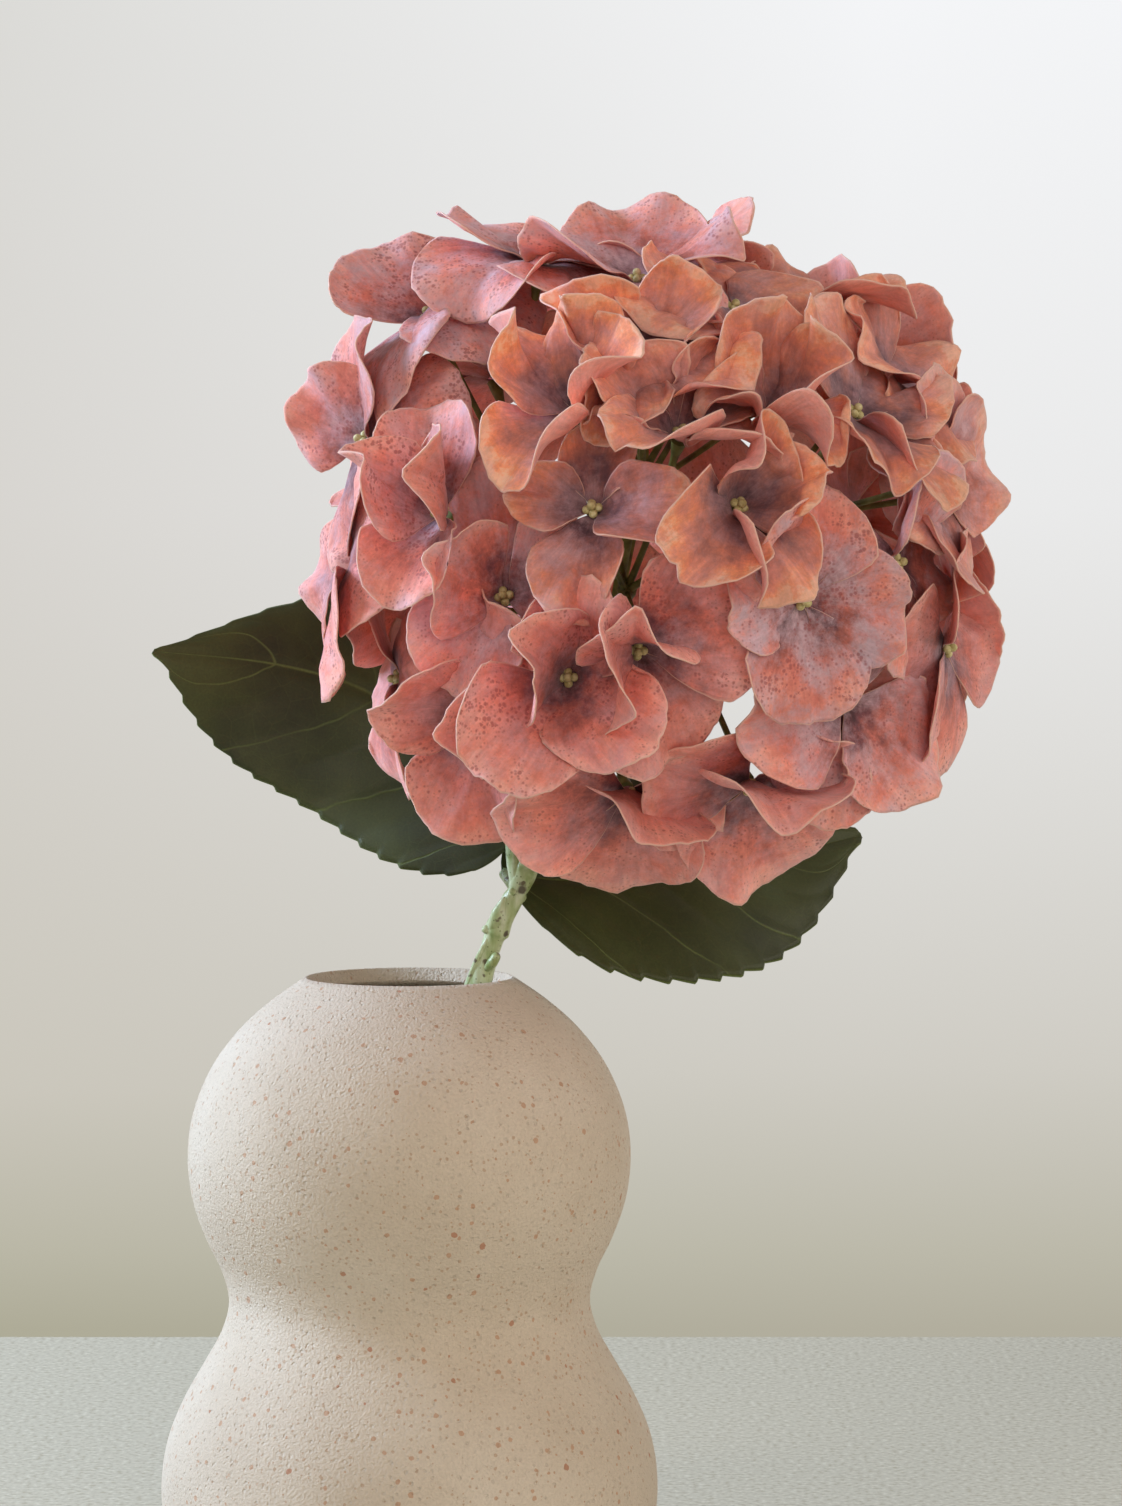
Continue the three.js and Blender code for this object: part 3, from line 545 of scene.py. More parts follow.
def leaf_middle(made, s, t):
    """Points of a leaf's middle surface, in metres: s is the share from base to tip, t from
    the low edge, -1, to the high edge, 1."""
    line, _ = even_line([Vector(p) for p in made["midrib"]], 0.5)
    far = np.linspace(0, 1, len(line))
    rib = np.stack([np.interp(s, far, line[:, i]) for i in range(3)], axis=-1)
    chord = line[-1] - line[0]
    length = np.linalg.norm(chord)
    sideways = np.cross(made["faces"], chord)
    sideways /= np.linalg.norm(sideways)
    sideways = sideways if sideways[2] > 0 else -sideways
    outward = np.cross(chord, sideways) / length
    outward = outward if outward @ np.array(made["faces"]) > 0 else -outward
    # A broad oval with a rounded base and a drawn-out tip.
    oval = np.sin(np.pi * np.clip(s, 0, 1) ** 0.86) ** (0.62 + 0.5 * np.clip(s, 0, 1) ** 4)
    oval = np.maximum(oval, 0.02)
    saw = (s * made["teeth"]) % 1.0
    tooth = np.where(saw < 0.82, saw / 0.82, (1 - saw) / 0.18) * np.abs(t) ** 14 * np.clip(s * 6, 0, 1)
    half = np.where(t < 0, made["low"], made["high"]) * oval + made["depth"] * tooth
    reach = np.abs(t) * half
    # Swells between the side veins, a groove along the midrib, and a rippled edge.
    vein = s - 0.26 * np.abs(t) ** 1.25
    between = np.abs(np.sin(np.pi * vein * SIDE_VEINS)) ** 0.6
    swell = 0.55 * between * np.sin(np.pi * np.clip(np.abs(t), 0, 1)) ** 0.7 * oval
    groove = -0.7 * np.exp(-((reach / 1.6) ** 2))
    ripple = 1.1 * np.sin(9 * s + 2 * t) * t**2 * oval
    lift = reach * math.sin(math.radians(made["fold"])) - made["droop"] * t**2 * oval + swell + groove + ripple
    side = np.sign(t) * reach * math.cos(math.radians(made["fold"]))
    return (rib + side[..., None] * sideways + lift[..., None] * outward) / 1000, outward


leaf_skins = {}
for name, made in LEAVES.items():
    t, s = np.meshgrid(np.linspace(-1, 1, LEAF_ACROSS), np.linspace(0, 1, LEAF_ALONG))
    middle, outward = leaf_middle(made, s, t)
    leaf_skins[name] = middle[::6, ::4].reshape(-1, 3)
    normal = np.cross(np.gradient(middle, axis=1), np.gradient(middle, axis=0))
    normal /= np.maximum(np.linalg.norm(normal, axis=2, keepdims=True), 1e-12)
    flip = normal.mean((0, 1)) @ outward < 0
    normal = -normal if flip else normal
    shell = np.concatenate(two_sides(middle, normal, LEAF_CLOTH))
    faces = sheet_faces(0, *t.shape)
    faces = faces[:, ::-1] if flip else faces
    blade = new_mesh(name + "_blade", shell, faces.tolist(), leaf_cloth)
    set_chart(blade, "leaf", np.tile(np.stack([t.ravel() / 2 + 0.5, s.ravel()], axis=1), (2, 1)))
    side = blade.data.attributes.new("side", "FLOAT", "POINT")
    side.data.foreach_set("value", np.repeat([0.0, 1.0], t.size).astype(np.float32))
    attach(blade, "root")
    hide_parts(name)
    # The petiole runs on as the wired midrib on the back of the leaf.
    share = np.linspace(0.0, 0.93, 40)
    rib, _ = leaf_middle(made, share, np.zeros(len(share)))
    rib = rib - outward * (0.0009 * np.linspace(1.0, 0.3, len(share)) + 0.0002)[:, None]
    rib = rib[4:]
    stalk, _ = even_line([Vector(p) / 1000 for p in made["petiole"]], 0.0005)
    line = np.concatenate([stalk, rib])
    given = np.linspace(0, 1, len(made["stalk"]))
    radii = np.concatenate([np.interp(np.linspace(0, 1, len(stalk)), given, made["stalk"]),
                            np.interp(np.linspace(0.1, 1, len(rib)), (0, 0.2, 1), (0.9, 0.9, 0.25))]) / 1000
    way = np.gradient(line, axis=0)
    way /= np.linalg.norm(way, axis=1, keepdims=True)
    points, faces = tube(line, way, radii, PETIOLE_SIDES)
    petiole = new_mesh(name + "_petiole", points, faces, stalk_plastic)
    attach(petiole, "root")

# ---- Florets' places ------------------------------------------------------------------
# Each floret sits on its own pedicel, square to it, with four petals round an eye. Its eye,
# axis and foot are found on its plain solid in the frame.

EYE_TOP = 0.0024  # the solid's top above its eye
CAP_DEEP, CAP_WIDE = 0.0016, 0.001  # where the solid's foot lies: its depth and reach
heart = np.array(sum(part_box("core"), Vector()) / 2)


def floret_place(name):
    """Foot and eye of a floret, its outward axis, and the directions up and right from outside."""
    points = np.array([v.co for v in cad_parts[name].data.vertices])
    gap = np.linalg.norm(points - heart, axis=1)
    cap = points[gap < gap.min() + CAP_DEEP]
    cap = cap[np.linalg.norm(cap - cap.mean(0), axis=1) < CAP_WIDE]
    foot = (cap.min(0) + cap.max(0)) / 2
    axis = np.linalg.svd(cap - foot)[2][2]
    axis = axis if axis @ (points.mean(0) - foot) > 0 else -axis
    reach = (points - foot) @ axis
    off = points - foot - reach[:, None] * axis
    spread = np.linalg.norm(off, axis=1)
    eye = foot + axis * (reach[spread < 0.0004].max() - EYE_TOP)
    up = np.array((0, 0, 1.0)) if abs(axis[2]) < 0.95 else np.array((0, 1.0, 0))
    up = up - axis * (up @ axis)
    up = up / np.linalg.norm(up)
    right = np.cross(up, axis)
    return {"foot": foot, "eye": eye, "axis": axis, "up": up, "right": right}


floret_names = sorted(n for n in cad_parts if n.startswith("floret_"))
places = {name: floret_place(name) for name in floret_names}

# ---- Petals ---------------------------------------------------------------------------
# Four broad petals to a floret, stamped from thin dyed cloth and pressed over a hot iron,
# which waves their cut edges. They grow out from their eyes here and push their neighbours
# aside, so that they overlap as packed petals do. Where they crowd, some still cross.

PETAL_LENGTH = 0.027
CLAW_SHARE = 0.1  # width of a petal's foot
CLOTH = 0.00032  # thickness
CLEAR = 0.0021  # how near the layers of petals may come
PEDICEL_CLEAR, EYE_CLEAR, LEAF_CLEAR = 0.0018, 0.0035, 0.0030  # how near they may come to these
ACROSS, ALONG = 33, 29  # points of a finished petal
COARSE = 11  # points of a petal each way while the petals settle
SEED = 0.3  # size of a petal when it starts to grow
GROWING, RESTING = 60, 25  # steps of growth, and steps of rest after it
FOOT_SHARE = 0.35  # how far up a petal its foot goes, where neighbours may lie closer

# How each floret looks: its petals' width to their length, how deep their waves are (mm), and
# how orange, lilac and freckled it is. Then each petal: its bearing clockwise from up, its
# pitch out of the floret's plane at foot and at tip, its curl to each side, all in degrees,
# and its length to PETAL_LENGTH.
LOOKS = {
    "floret_01": (1.00, 2.0, 0.0, 0.5, 0.9, [
        (341, 30, 10, 25, 1.05), (65, 60, 85, 20, 1.0), (182, 20, -5, 40, 1.0), (265, 55, 80, 20, 1.0)]),
    "floret_02": (1.20, 2.0, 0.0, 0.7, 0.5, [
        (4, 25, 5, 25, 1.15), (80, 30, 10, 10, 0.95), (215, 20, 0, 10, 0.95), (290, 55, 75, 10, 0.95)]),
    "floret_03": (1.20, 2.0, 0.0, 0.2, 0.8, [
        (350, 20, -10, 10, 1.15), (80, 15, -70, -10, 1.15), (150, 20, -45, 10, 1.15), (250, 30, 0, 0, 1.0)]),
    "floret_04": (1.30, 1.8, 0.0, 0.9, 0.9, [
        (262, 58, 65, 5, 1.05), (345, 25, 5, 10, 1.05), (62, 10, -85, -10, 1.2), (142, 12, -75, 0, 1.3)]),
    "floret_05": (1.30, 2.0, 0.0, 0.6, 0.8, [
        (8, 35, 10, 10, 1.1), (75, 10, -75, -10, 1.25), (160, 15, -60, 10, 1.15), (300, 60, 40, 0, 0.85)]),
    "floret_06": (1.25, 2.0, 0.0, 0.85, 0.8, [
        (225, 20, -75, 15, 1.15), (300, 30, 20, 10, 1.0), (150, 20, -70, -10, 1.15), (60, 15, 0, 10, 1.0)]),
    "floret_07": (1.10, 2.4, 0.0, 0.2, 0.7, [
        (25, 25, 10, 20, 1.15), (95, 60, 75, 10, 0.95), (178, 15, 5, 35, 1.1), (290, 60, 70, 10, 1.0)]),
    "floret_08": (1.20, 2.4, 0.0, 0.0, 0.3, [
        (350, 30, 0, 10, 1.05), (80, 15, -60, 0, 1.1), (165, 20, -30, 15, 1.1), (260, 20, 0, 0, 1.0)]),
    "floret_09": (1.25, 2.0, 0.0, 0.1, 0.6, [
        (10, 70, 85, -10, 1.0), (85, 30, 10, 0, 0.85), (170, 5, 0, 10, 1.15), (265, 15, 0, 0, 1.15)]),
    "floret_10": (1.05, 2.4, 0.0, 0.2, 0.8, [
        (15, 45, 35, 35, 1.0), (135, 55, 15, 25, 1.15), (212, 50, 0, 35, 1.25), (300, 75, 70, 20, 1.05)]),
    "floret_11": (0.80, 2.4, 0.7, 0.4, 0.0, [
        (8, 30, 30, 45, 0.95), (100, 35, 15, 40, 1.05), (187, 10, -5, 15, 1.0), (280, 25, 10, 10, 0.75)]),
    "floret_12": (0.95, 2.8, 0.9, 0.1, 0.0, [
        (8, 50, 60, 35, 1.05), (80, 60, 40, 50, 1.0), (200, 20, -10, 50, 1.05), (290, 40, 60, 40, 1.05)]),
    "floret_13": (0.90, 3.0, 0.7, 0.1, 0.0, [
        (50, 35, 15, 60, 1.05), (130, 50, 0, 35, 1.0), (235, 45, 5, 50, 1.1), (300, 30, 20, 50, 1.1)]),
    "floret_14": (0.95, 2.8, 0.9, 0.0, 0.0, [
        (350, 50, 80, 70, 0.9), (95, 60, 55, 50, 0.85), (170, 40, -20, 70, 1.0), (235, 30, -10, 40, 1.1)]),
    "floret_15": (1.25, 2.2, 0.0, 0.2, 0.8, [
        (60, 15, 0, 10, 1.2), (165, 15, 0, 15, 1.05), (265, 70, 80, 20, 1.0), (345, 70, 50, 30, 0.85)]),
    "floret_16": (0.95, 2.8, 0.8, 0.2, 0.0, [
        (50, 30, 30, 70, 0.95), (105, 20, 0, 35, 1.1), (195, 30, -20, 35, 1.0), (290, 40, 40, 35, 0.9)]),
    "floret_17": (1.25, 2.2, 0.1, 0.9, 0.7, [
        (350, 40, 35, 20, 1.1), (90, 35, 20, 10, 1.0), (180, 20, -75, 10, 1.15), (270, 35, 10, 20, 1.05)]),
    "floret_18": (1.25, 2.0, 0.7, 0.1, 0.1, [
        (10, 10, -10, 10, 0.95), (100, 20, 0, 10, 1.0), (190, 15, -50, 10, 1.05), (290, 10, -40, -10, 1.2)]),
    "floret_19": (1.00, 3.2, 0.8, 0.1, 0.0, [
        (350, 50, 65, 35, 1.1), (75, 70, 70, 50, 1.0), (165, 50, 0, 60, 0.95), (250, 50, 20, 35, 0.9)]),
    "floret_20": (1.05, 2.8, 0.8, 0.1, 0.0, [
        (350, 40, 20, 25, 1.1), (85, 30, 10, 15, 1.05), (165, 15, -10, 35, 1.15), (215, 20, -15, 15, 1.1)]),
    "floret_21": (1.20, 2.2, 0.0, 1.2, 0.8, [
        (358, 20, 5, 20, 1.0), (100, 15, 0, 10, 0.95), (175, 10, 0, 0, 1.05), (268, 15, 10, 10, 0.75)]),
    "floret_22": (1.20, 2.2, 0.0, 1.1, 0.5, [
        (340, 40, 10, 20, 1.05), (80, 20, 0, 0, 1.0), (185, 20, -30, 0, 1.0), (250, 10, -75, -10, 1.2)]),
    "floret_23": (1.20, 1.8, 0.0, 0.8, 0.6, [
        (350, 20, 5, 5, 1.0), (130, 25, 10, -10, 1.15), (195, 0, -15, 0, 1.1), (265, 10, -5, 10, 1.2)]),
    "floret_24": (1.28, 1.8, 0.0, 0.25, 0.6, [
        (5, 65, 72, -10, 1.1), (80, 15, 0, 0, 1.05), (165, 5, 0, 0, 1.15), (285, 20, 0, 0, 1.05)]),
    "floret_25": (1.25, 1.8, 0.0, 0.2, 0.7, [
        (340, 25, 5, 10, 1.05), (80, 20, 0, 0, 1.05), (195, 10, -45, 0, 1.15), (255, 0, -70, 0, 1.2)]),
    "floret_27": (1.20, 2.2, 0.5, 0.5, 0.2, [
        (350, 30, 10, 15, 1.0), (80, 20, 10, 10, 1.05), (185, 20, 0, 15, 1.1), (255, 25, -20, 0, 1.05)]),
    "floret_28": (1.15, 2.4, 0.7, 0.0, 0.1, [
        (350, 30, 15, 10, 1.0), (95, 25, 5, 0, 1.0), (195, 20, -25, 0, 1.1), (280, 35, 0, 20, 1.0)]),
    "floret_29": (1.15, 2.2, 0.8, 0.0, 0.1, [
        (0, 20, 5, 10, 1.0), (95, 25, 5, 15, 1.05), (180, 20, -70, 10, 1.1), (270, 30, 0, 10, 1.0)]),
    "floret_41": (1.20, 2.0, 0.0, 0.2, 0.5, [
        (20, 25, 0, 5, 1.1), (110, 10, -75, 0, 1.05), (200, 15, -60, 0, 1.0), (290, 25, 0, 10, 1.05)]),
}


def look_of(name):
    """A floret's own look, or for one at the back a look in between, from a fixed seed."""
    if name in LOOKS:
        return LOOKS[name]
    pick = random.Random(name)
    first = pick.uniform(0, 90)
    poses = [(first + 90 * i, pick.uniform(15, 35) + (i % 2) * pick.uniform(0, 35),
              pick.uniform(-25, 20) + (i % 2) * pick.uniform(0, 25), pick.uniform(-10, 25),
              pick.uniform(0.98, 1.12)) for i in range(4)]
    return (pick.uniform(1.1, 1.25), pick.uniform(1.8, 2.5), pick.choice((0.0, 0.1, 0.2, 0.7)),
            pick.uniform(0, 0.5), pick.uniform(0.1, 0.6), poses)


def petal_shape(u, v, place, look, index, pick):
    """Points of one petal, in metres. u is its share across, -1 to 1, and v along, 0 to 1."""
    bearing, foot, tip, curl, long = look[5][index]
    length = PETAL_LENGTH * long
    half = length * look[0] / 2 * pick.uniform(0.95, 1.05)
    swing = np.pi / 2 * u
    widen = CLAW_SHARE + (1 - CLAW_SHARE) * np.sin(np.pi / 2 * v**1.15)
    x = half * np.sin(swing) * widen + pick.uniform(-0.1, 0.1) * half * v**2
    y = length * v * (0.42 + 0.58 * np.cos(swing))
    # The cut edge: a faint notch or point at the top and an uneven fine wave.
    edge = np.clip((np.maximum(np.abs(u), v) - 0.8) / 0.2, 0, 1) * v
    nick = pick.uniform(0, 6)
    notch = pick.choice((0.04, 0.02, -0.03))
    y = y - length * edge * (notch * np.exp(-((u / 0.2) ** 2)) + 0.008 * np.sin(26 * u + nick)
                             + 0.005 * np.sin(47 * u + 2 * nick))
    x = x + half * edge * np.sign(u) * 0.010 * np.sin(31 * v + nick)
    # The petal climbs from its foot, then arches over, channelled near the foot.
    start = math.radians(foot)
    end = math.radians(tip) + 0.01
    climb = start + (end - start) * y / length
    out = length * (np.sin(climb) - math.sin(start)) / (end - start)
    rise = length * (math.cos(start) - np.cos(climb)) / (end - start)
    side = math.radians(curl + pick.uniform(-6, 6))
    bend = (math.radians(60) * np.exp(-4 * v) + side * v**0.7) / np.maximum(half * widen, 1e-6)
    bend = np.where(np.abs(bend) < 1e-3, 1e-3, bend)
    level, lift = np.sin(bend * x) / bend, (1 - np.cos(bend * x)) / bend
    # Waves run round the edge, and die away towards the middle.
    round_edge = np.arctan2(x / half, y / length - 0.35)
    ridge = np.clip((np.maximum(np.abs(u), v) - 0.2) / 0.8, 0, 1) ** 1.4 * v
    wave = 0
    for count, size in ((2, 1.1), (3, 1.0), (5, 0.45), (8, 0.16), (13, 0.06)):
        wave = wave + size * pick.uniform(0.6, 1.2) * np.sin(count * round_edge + pick.uniform(0, 6.28))
    lift = lift + wave * ridge * look[1] / 800
    twist = math.radians(pick.uniform(-22, 22)) * y / length
    level, lift = level * np.cos(twist) - lift * np.sin(twist), level * np.sin(twist) + lift * np.cos(twist)
    out, rise = 0.0012 + out - lift * np.sin(climb), rise + lift * np.cos(climb)
    turn = math.radians(bearing)
    ahead = place["up"] * math.cos(turn) + place["right"] * math.sin(turn)
    aside = np.cross(place["axis"], ahead)
    stack = 0.0002 * (1 + index % 2)  # opposite pairs lie over each other at the foot
    return (place["eye"] + out[..., None] * ahead + level[..., None] * aside
            + (rise + stack)[..., None] * place["axis"])


def petal_grid(across, along):
    """Even shares across and along a petal."""
    return np.meshgrid(np.linspace(-1, 1, across), np.linspace(0, 1, along))


petals = [(name, index) for name in floret_names for index in range(4)]
coarse_u, coarse_v = petal_grid(COARSE, COARSE)


def shape_of(petal, u, v):
    """Points of a petal as drawn, always from the same random draws."""
    name, index = petal
    return petal_shape(u, v, places[name], look_of(name), index, random.Random(f"{name} {index}"))


def summed(plus, minus, moves, total):
    """Adds each pair's move to its one point and takes it from its other."""
    return np.stack([np.bincount(plus, moves[:, i], total) - np.bincount(minus, moves[:, i], total)
                     for i in range(3)], axis=1)


def settle(rest, owners):
    """Grows the petals from their eyes to full size, and lets them push each other aside.
    Each keeps its shape by springs to its near points and a soft pull to where it was drawn."""
    total = len(rest)
    size = COARSE * COARSE
    eyes = np.repeat(np.array([places[name]["eye"] for name, _ in petals]), size, axis=0)
    number = np.arange(total).reshape(-1, COARSE, COARSE)
    springs = []
    for down, over in ((0, 1), (1, 0), (1, 1), (1, -1), (0, 2), (2, 0), (2, 2), (2, -2)):
        first = number[:, : COARSE - down, max(0, -over) : COARSE - max(0, over)]
        other = number[:, down:, max(0, over) : COARSE + min(0, over)]
        springs.append(np.stack([first.ravel(), other.ravel()]))
    a, b = np.concatenate(springs, axis=1)
    long = np.linalg.norm(rest[a] - rest[b], axis=1)
    weight = np.bincount(a, minlength=total) + np.bincount(b, minlength=total)
    row = np.tile(np.repeat(np.arange(COARSE), COARSE), len(petals)) / (COARSE - 1)
    pull = np.where(row < 0.15, 1.0, 0.10 * (1 - row) + 0.015)
    petal_of = np.repeat(np.arange(len(petals)), size)
    # Fixed points that petals keep off: the pedicels, and the space over each eye.
    posts, room = [], []
    for place in places.values():
        for t in np.linspace(0.15, 0.93, 14):
            posts.append(place["foot"] + (place["eye"] - place["foot"]) * t)
            room.append(PEDICEL_CLEAR)
        for height in (0.004, 0.007, 0.010, 0.013):
            posts.append(place["eye"] + place["axis"] * height)
            room.append(EYE_CLEAR)
    for skin in leaf_skins.values():
        posts += list(skin)
        room += [LEAF_CLEAR] * len(skin)
    posts, room = np.array(posts), np.array(room)
    grown, points = SEED, eyes + SEED * (rest - eyes)
    for step in range(GROWING + RESTING):
        grow = min(1.0, SEED + (1 - SEED) * (step + 1) / GROWING)
        points = points + (grow - grown) * (rest - eyes)
        grown = grow
        tree = KDTree(total)
        for i, point in enumerate(points):
            tree.insert(point, i)
        tree.balance()
        pairs = [(i, other) for i, point in enumerate(points)
                 for _, other, _ in tree.find_range(point, CLEAR * 1.25)
                 if other > i and petal_of[other] != petal_of[i]]
        pairs = np.array(pairs, int).reshape(-1, 2)
        near, far = pairs[:, 0], pairs[:, 1]
        same = owners[near] == owners[far]
        keep = ~(same & (np.minimum(row[near], row[far]) < FOOT_SHARE))
        near, far = near[keep], far[keep]
        push_to = np.where(owners[near] == owners[far], CLEAR * 0.7, CLEAR)
        held = [(i, j) for j, post in enumerate(posts)
                for _, i, _ in tree.find_range(post, room[j] * 1.2) if row[i] > FOOT_SHARE]
        held = np.array(held, int).reshape(-1, 2)
        for _ in range(6):
            way = points[a] - points[b]
            span = np.linalg.norm(way, axis=1)
            fix = way * (0.5 * (span - grown * long) / np.maximum(span, 1e-9))[:, None]
            points = points + 2.2 * summed(b, a, fix, total) / weight[:, None]
            way = points[near] - points[far]
            span = np.linalg.norm(way, axis=1)
            fix = way * (0.5 * np.maximum(push_to - span, 0) / np.maximum(span, 1e-9))[:, None]
            hits = np.bincount(near, minlength=total) + np.bincount(far, minlength=total)
            points = points + 1.6 * summed(near, far, fix, total) / np.maximum(hits, 1)[:, None] ** 0.7
            way = points[held[:, 0]] - posts[held[:, 1]]
            span = np.linalg.norm(way, axis=1)
            fix = way * (np.maximum(room[held[:, 1]] - span, 0) / np.maximum(span, 1e-9))[:, None]
            np.add.at(points, held[:, 0], 0.5 * fix)
            target = eyes + grown * (rest - eyes)
            points = points + (pull * (1.0 if step < GROWING else 0.4))[:, None] * (target - points)
    return points


def between_rows(fine, coarse):
    """Weights that carry values on an even coarse row of points to a finer one, smoothly."""
    weights = np.zeros((fine, coarse))
    for i, at in enumerate(np.linspace(0, coarse - 1, fine)):
        k = min(int(at), coarse - 2)
        t = at - k
        for offset, w in ((-1, -0.5 * t + t**2 - 0.5 * t**3), (0, 1 - 2.5 * t**2 + 1.5 * t**3),
                          (1, 0.5 * t + 2 * t**2 - 1.5 * t**3), (2, -0.5 * t**2 + 0.5 * t**3)):
            weights[i, min(max(k + offset, 0), coarse - 1)] += w
    return weights


drawn = np.concatenate([shape_of(p, coarse_u, coarse_v).reshape(-1, 3) for p in petals])
owner = np.repeat(np.array([floret_names.index(name) for name, _ in petals]), COARSE * COARSE)
moved = settle(drawn, owner) - drawn
moved = moved.reshape(len(petals), COARSE, COARSE, 3)
by_row, by_column = between_rows(ALONG, COARSE), between_rows(ACROSS, COARSE)

# Dyed cloth: matt, with a mauve heart that runs out to coral or orange like watercolour, its dark foot partly
# dye and partly painted shade, fine veins that fan from the foot, dark freckles, a lilac bloom, and pale
# fibres at the cut edge.
petal_cloth, tree, shader = new_material("dyed_petal_cloth", Roughness=0.72)
shader.inputs["Specular IOR Level"].default_value = 0.3
shader.inputs["Sheen Weight"].default_value = 0.1
shader.inputs["Sheen Roughness"].default_value = 0.5
shader.inputs["Subsurface Weight"].default_value = 0.22
shader.inputs["Subsurface Radius"].default_value = (0.0016, 0.0009, 0.0006)
shader.inputs["Subsurface Scale"].default_value = 1.0
place = node(tree, "ShaderNodeTexCoord").outputs["Object"]
chart = node(tree, "ShaderNodeUVMap", uv_map="petal")
tint = node(tree, "ShaderNodeAttribute", attribute_name="tint")
warm, lilac, freckled = node(tree, "ShaderNodeSeparateColor", {0: tint.outputs["Color"]}).outputs
face = node(tree, "ShaderNodeAttribute", attribute_name="face")
under, rim, luck = node(tree, "ShaderNodeSeparateColor", {0: face.outputs["Color"]}).outputs
uv = node(tree, "ShaderNodeSeparateXYZ", {0: chart.outputs[0]})
blot = node(tree, "ShaderNodeTexNoise", {"Vector": place, "Scale": 130.0, "Detail": 6.0, "Roughness": 0.68})
shift = node(tree, "ShaderNodeMapRange", {"Value": blot.outputs["Fac"], 1: 0.3, 2: 0.7, 3: -0.26, 4: 0.26})
reach = node(tree, "ShaderNodeMath", {0: uv.outputs["Y"], 1: shift.outputs[0]}, operation="ADD")
# Foot to tip: the dark foot is partly the dye's mauve heart and partly painted shade for the shaded middle of
# the floret.
coral = node(tree, "ShaderNodeValToRGB", {0: reach.outputs[0]},
             [(0.0, "#54383f"), (0.18, "#7c4d54"), (0.36, "#b0675f"), (0.56, "#da7e71"), (0.8, "#ee9585"),
              (1.0, "#f5ac9e")])
orange = node(tree, "ShaderNodeValToRGB", {0: reach.outputs[0]},
              [(0.0, "#57424c"), (0.25, "#7f5d62"), (0.5, "#ae7569"), (0.72, "#d8866c"), (0.9, "#f4996a"),
               (1.0, "#f8bb98")])
dye_and_painted_shade = node(tree, "ShaderNodeMix", {0: warm, 6: coral.outputs[0], 7: orange.outputs[0]}, data_type="RGBA")
backing = node(tree, "ShaderNodeValToRGB", {0: reach.outputs[0]},
               [(0.0, "#9c5d55"), (0.35, "#d47c6e"), (0.7, "#ec9282"), (1.0, "#f2a698")])
sided = node(tree, "ShaderNodeMix", {0: under, 6: dye_and_painted_shade.outputs[2], 7: backing.outputs[0]}, data_type="RGBA")
bloom = node(tree, "ShaderNodeTexNoise", {"Vector": place, "Scale": 80.0, "Detail": 7.0, "Roughness": 0.72})
misty = node(tree, "ShaderNodeMapRange", {"Value": bloom.outputs["Fac"], 1: 0.42, 2: 0.64, 3: 0.0, 4: 0.9})
mist = node(tree, "ShaderNodeMath", {0: lilac, 1: 0.7, 2: 0.38}, operation="MULTIPLY_ADD")
mist = node(tree, "ShaderNodeMath", {0: mist.outputs[0], 1: misty.outputs[0]}, operation="MULTIPLY")
hazed = node(tree, "ShaderNodeMix", {0: mist.outputs[0], 6: sided.outputs[2], 7: linear("#d3b2bd")},
             data_type="RGBA")
fan = node(tree, "ShaderNodeVectorMath", {0: chart.outputs[0], 1: (11.0, 1.3, 1.0)}, operation="MULTIPLY")
fan = node(tree, "ShaderNodeVectorMath", {0: fan.outputs[0], 1: face.outputs["Color"]}, operation="ADD")
veins = node(tree, "ShaderNodeTexNoise",
             {"Vector": fan.outputs[0], "Scale": 2.2, "Detail": 4.0, "Roughness": 0.65})
veined = node(tree, "ShaderNodeMapRange", {"Value": veins.outputs["Fac"], 1: 0.3, 2: 0.7, 3: 0.83, 4: 1.13})
fibre = node(tree, "ShaderNodeTexNoise", {"Vector": place, "Scale": 1400.0, "Detail": 3.0})
fibred = node(tree, "ShaderNodeMapRange", {"Value": fibre.outputs["Fac"], 1: 0.3, 2: 0.7, 3: 0.93, 4: 1.07})
shade = node(tree, "ShaderNodeMath", {0: veined.outputs[0], 1: fibred.outputs[0]}, operation="MULTIPLY")
level = node(tree, "ShaderNodeMapRange", {"Value": luck, 3: 0.9, 4: 1.1})
shade = node(tree, "ShaderNodeMath", {0: shade.outputs[0], 1: level.outputs[0]}, operation="MULTIPLY")
toned = node(tree, "ShaderNodeMix", {0: 1.0, 6: hazed.outputs[2], 7: shade.outputs[0]},
             data_type="RGBA", blend_type="MULTIPLY")
cell = node(tree, "ShaderNodeTexVoronoi", {"Vector": place, "Scale": 1150.0})
chance = node(tree, "ShaderNodeSeparateXYZ", {0: cell.outputs["Color"]})
drift = node(tree, "ShaderNodeTexNoise", {"Vector": place, "Scale": 130.0, "Detail": 2.0})
likely = node(tree, "ShaderNodeMapRange", {"Value": drift.outputs["Fac"], 1: 0.36, 2: 0.64, 3: 0.0, 4: 1.0})
likely = node(tree, "ShaderNodeMath", {0: likely.outputs[0], 1: freckled}, operation="MULTIPLY")
size = node(tree, "ShaderNodeMath", {0: chance.outputs[0], 1: likely.outputs[0]}, operation="MULTIPLY")
inside = node(tree, "ShaderNodeMath", {0: size.outputs[0], 1: cell.outputs["Distance"]}, operation="SUBTRACT")
freckle = node(tree, "ShaderNodeMapRange", {"Value": inside.outputs[0], 1: -0.1, 2: 0.3, 3: 0.0, 4: 0.6})
dotted = node(tree, "ShaderNodeMix", {0: freckle.outputs[0], 6: toned.outputs[2], 7: linear("#96484a")},
              data_type="RGBA")
line = node(tree, "ShaderNodeMapRange", {"Value": rim, 1: 0.55, 2: 0.95, 3: 0.0, 4: 0.8})
edged = node(tree, "ShaderNodeMix", {0: line.outputs[0], 6: dotted.outputs[2], 7: linear("#eec0b0")},
             data_type="RGBA")
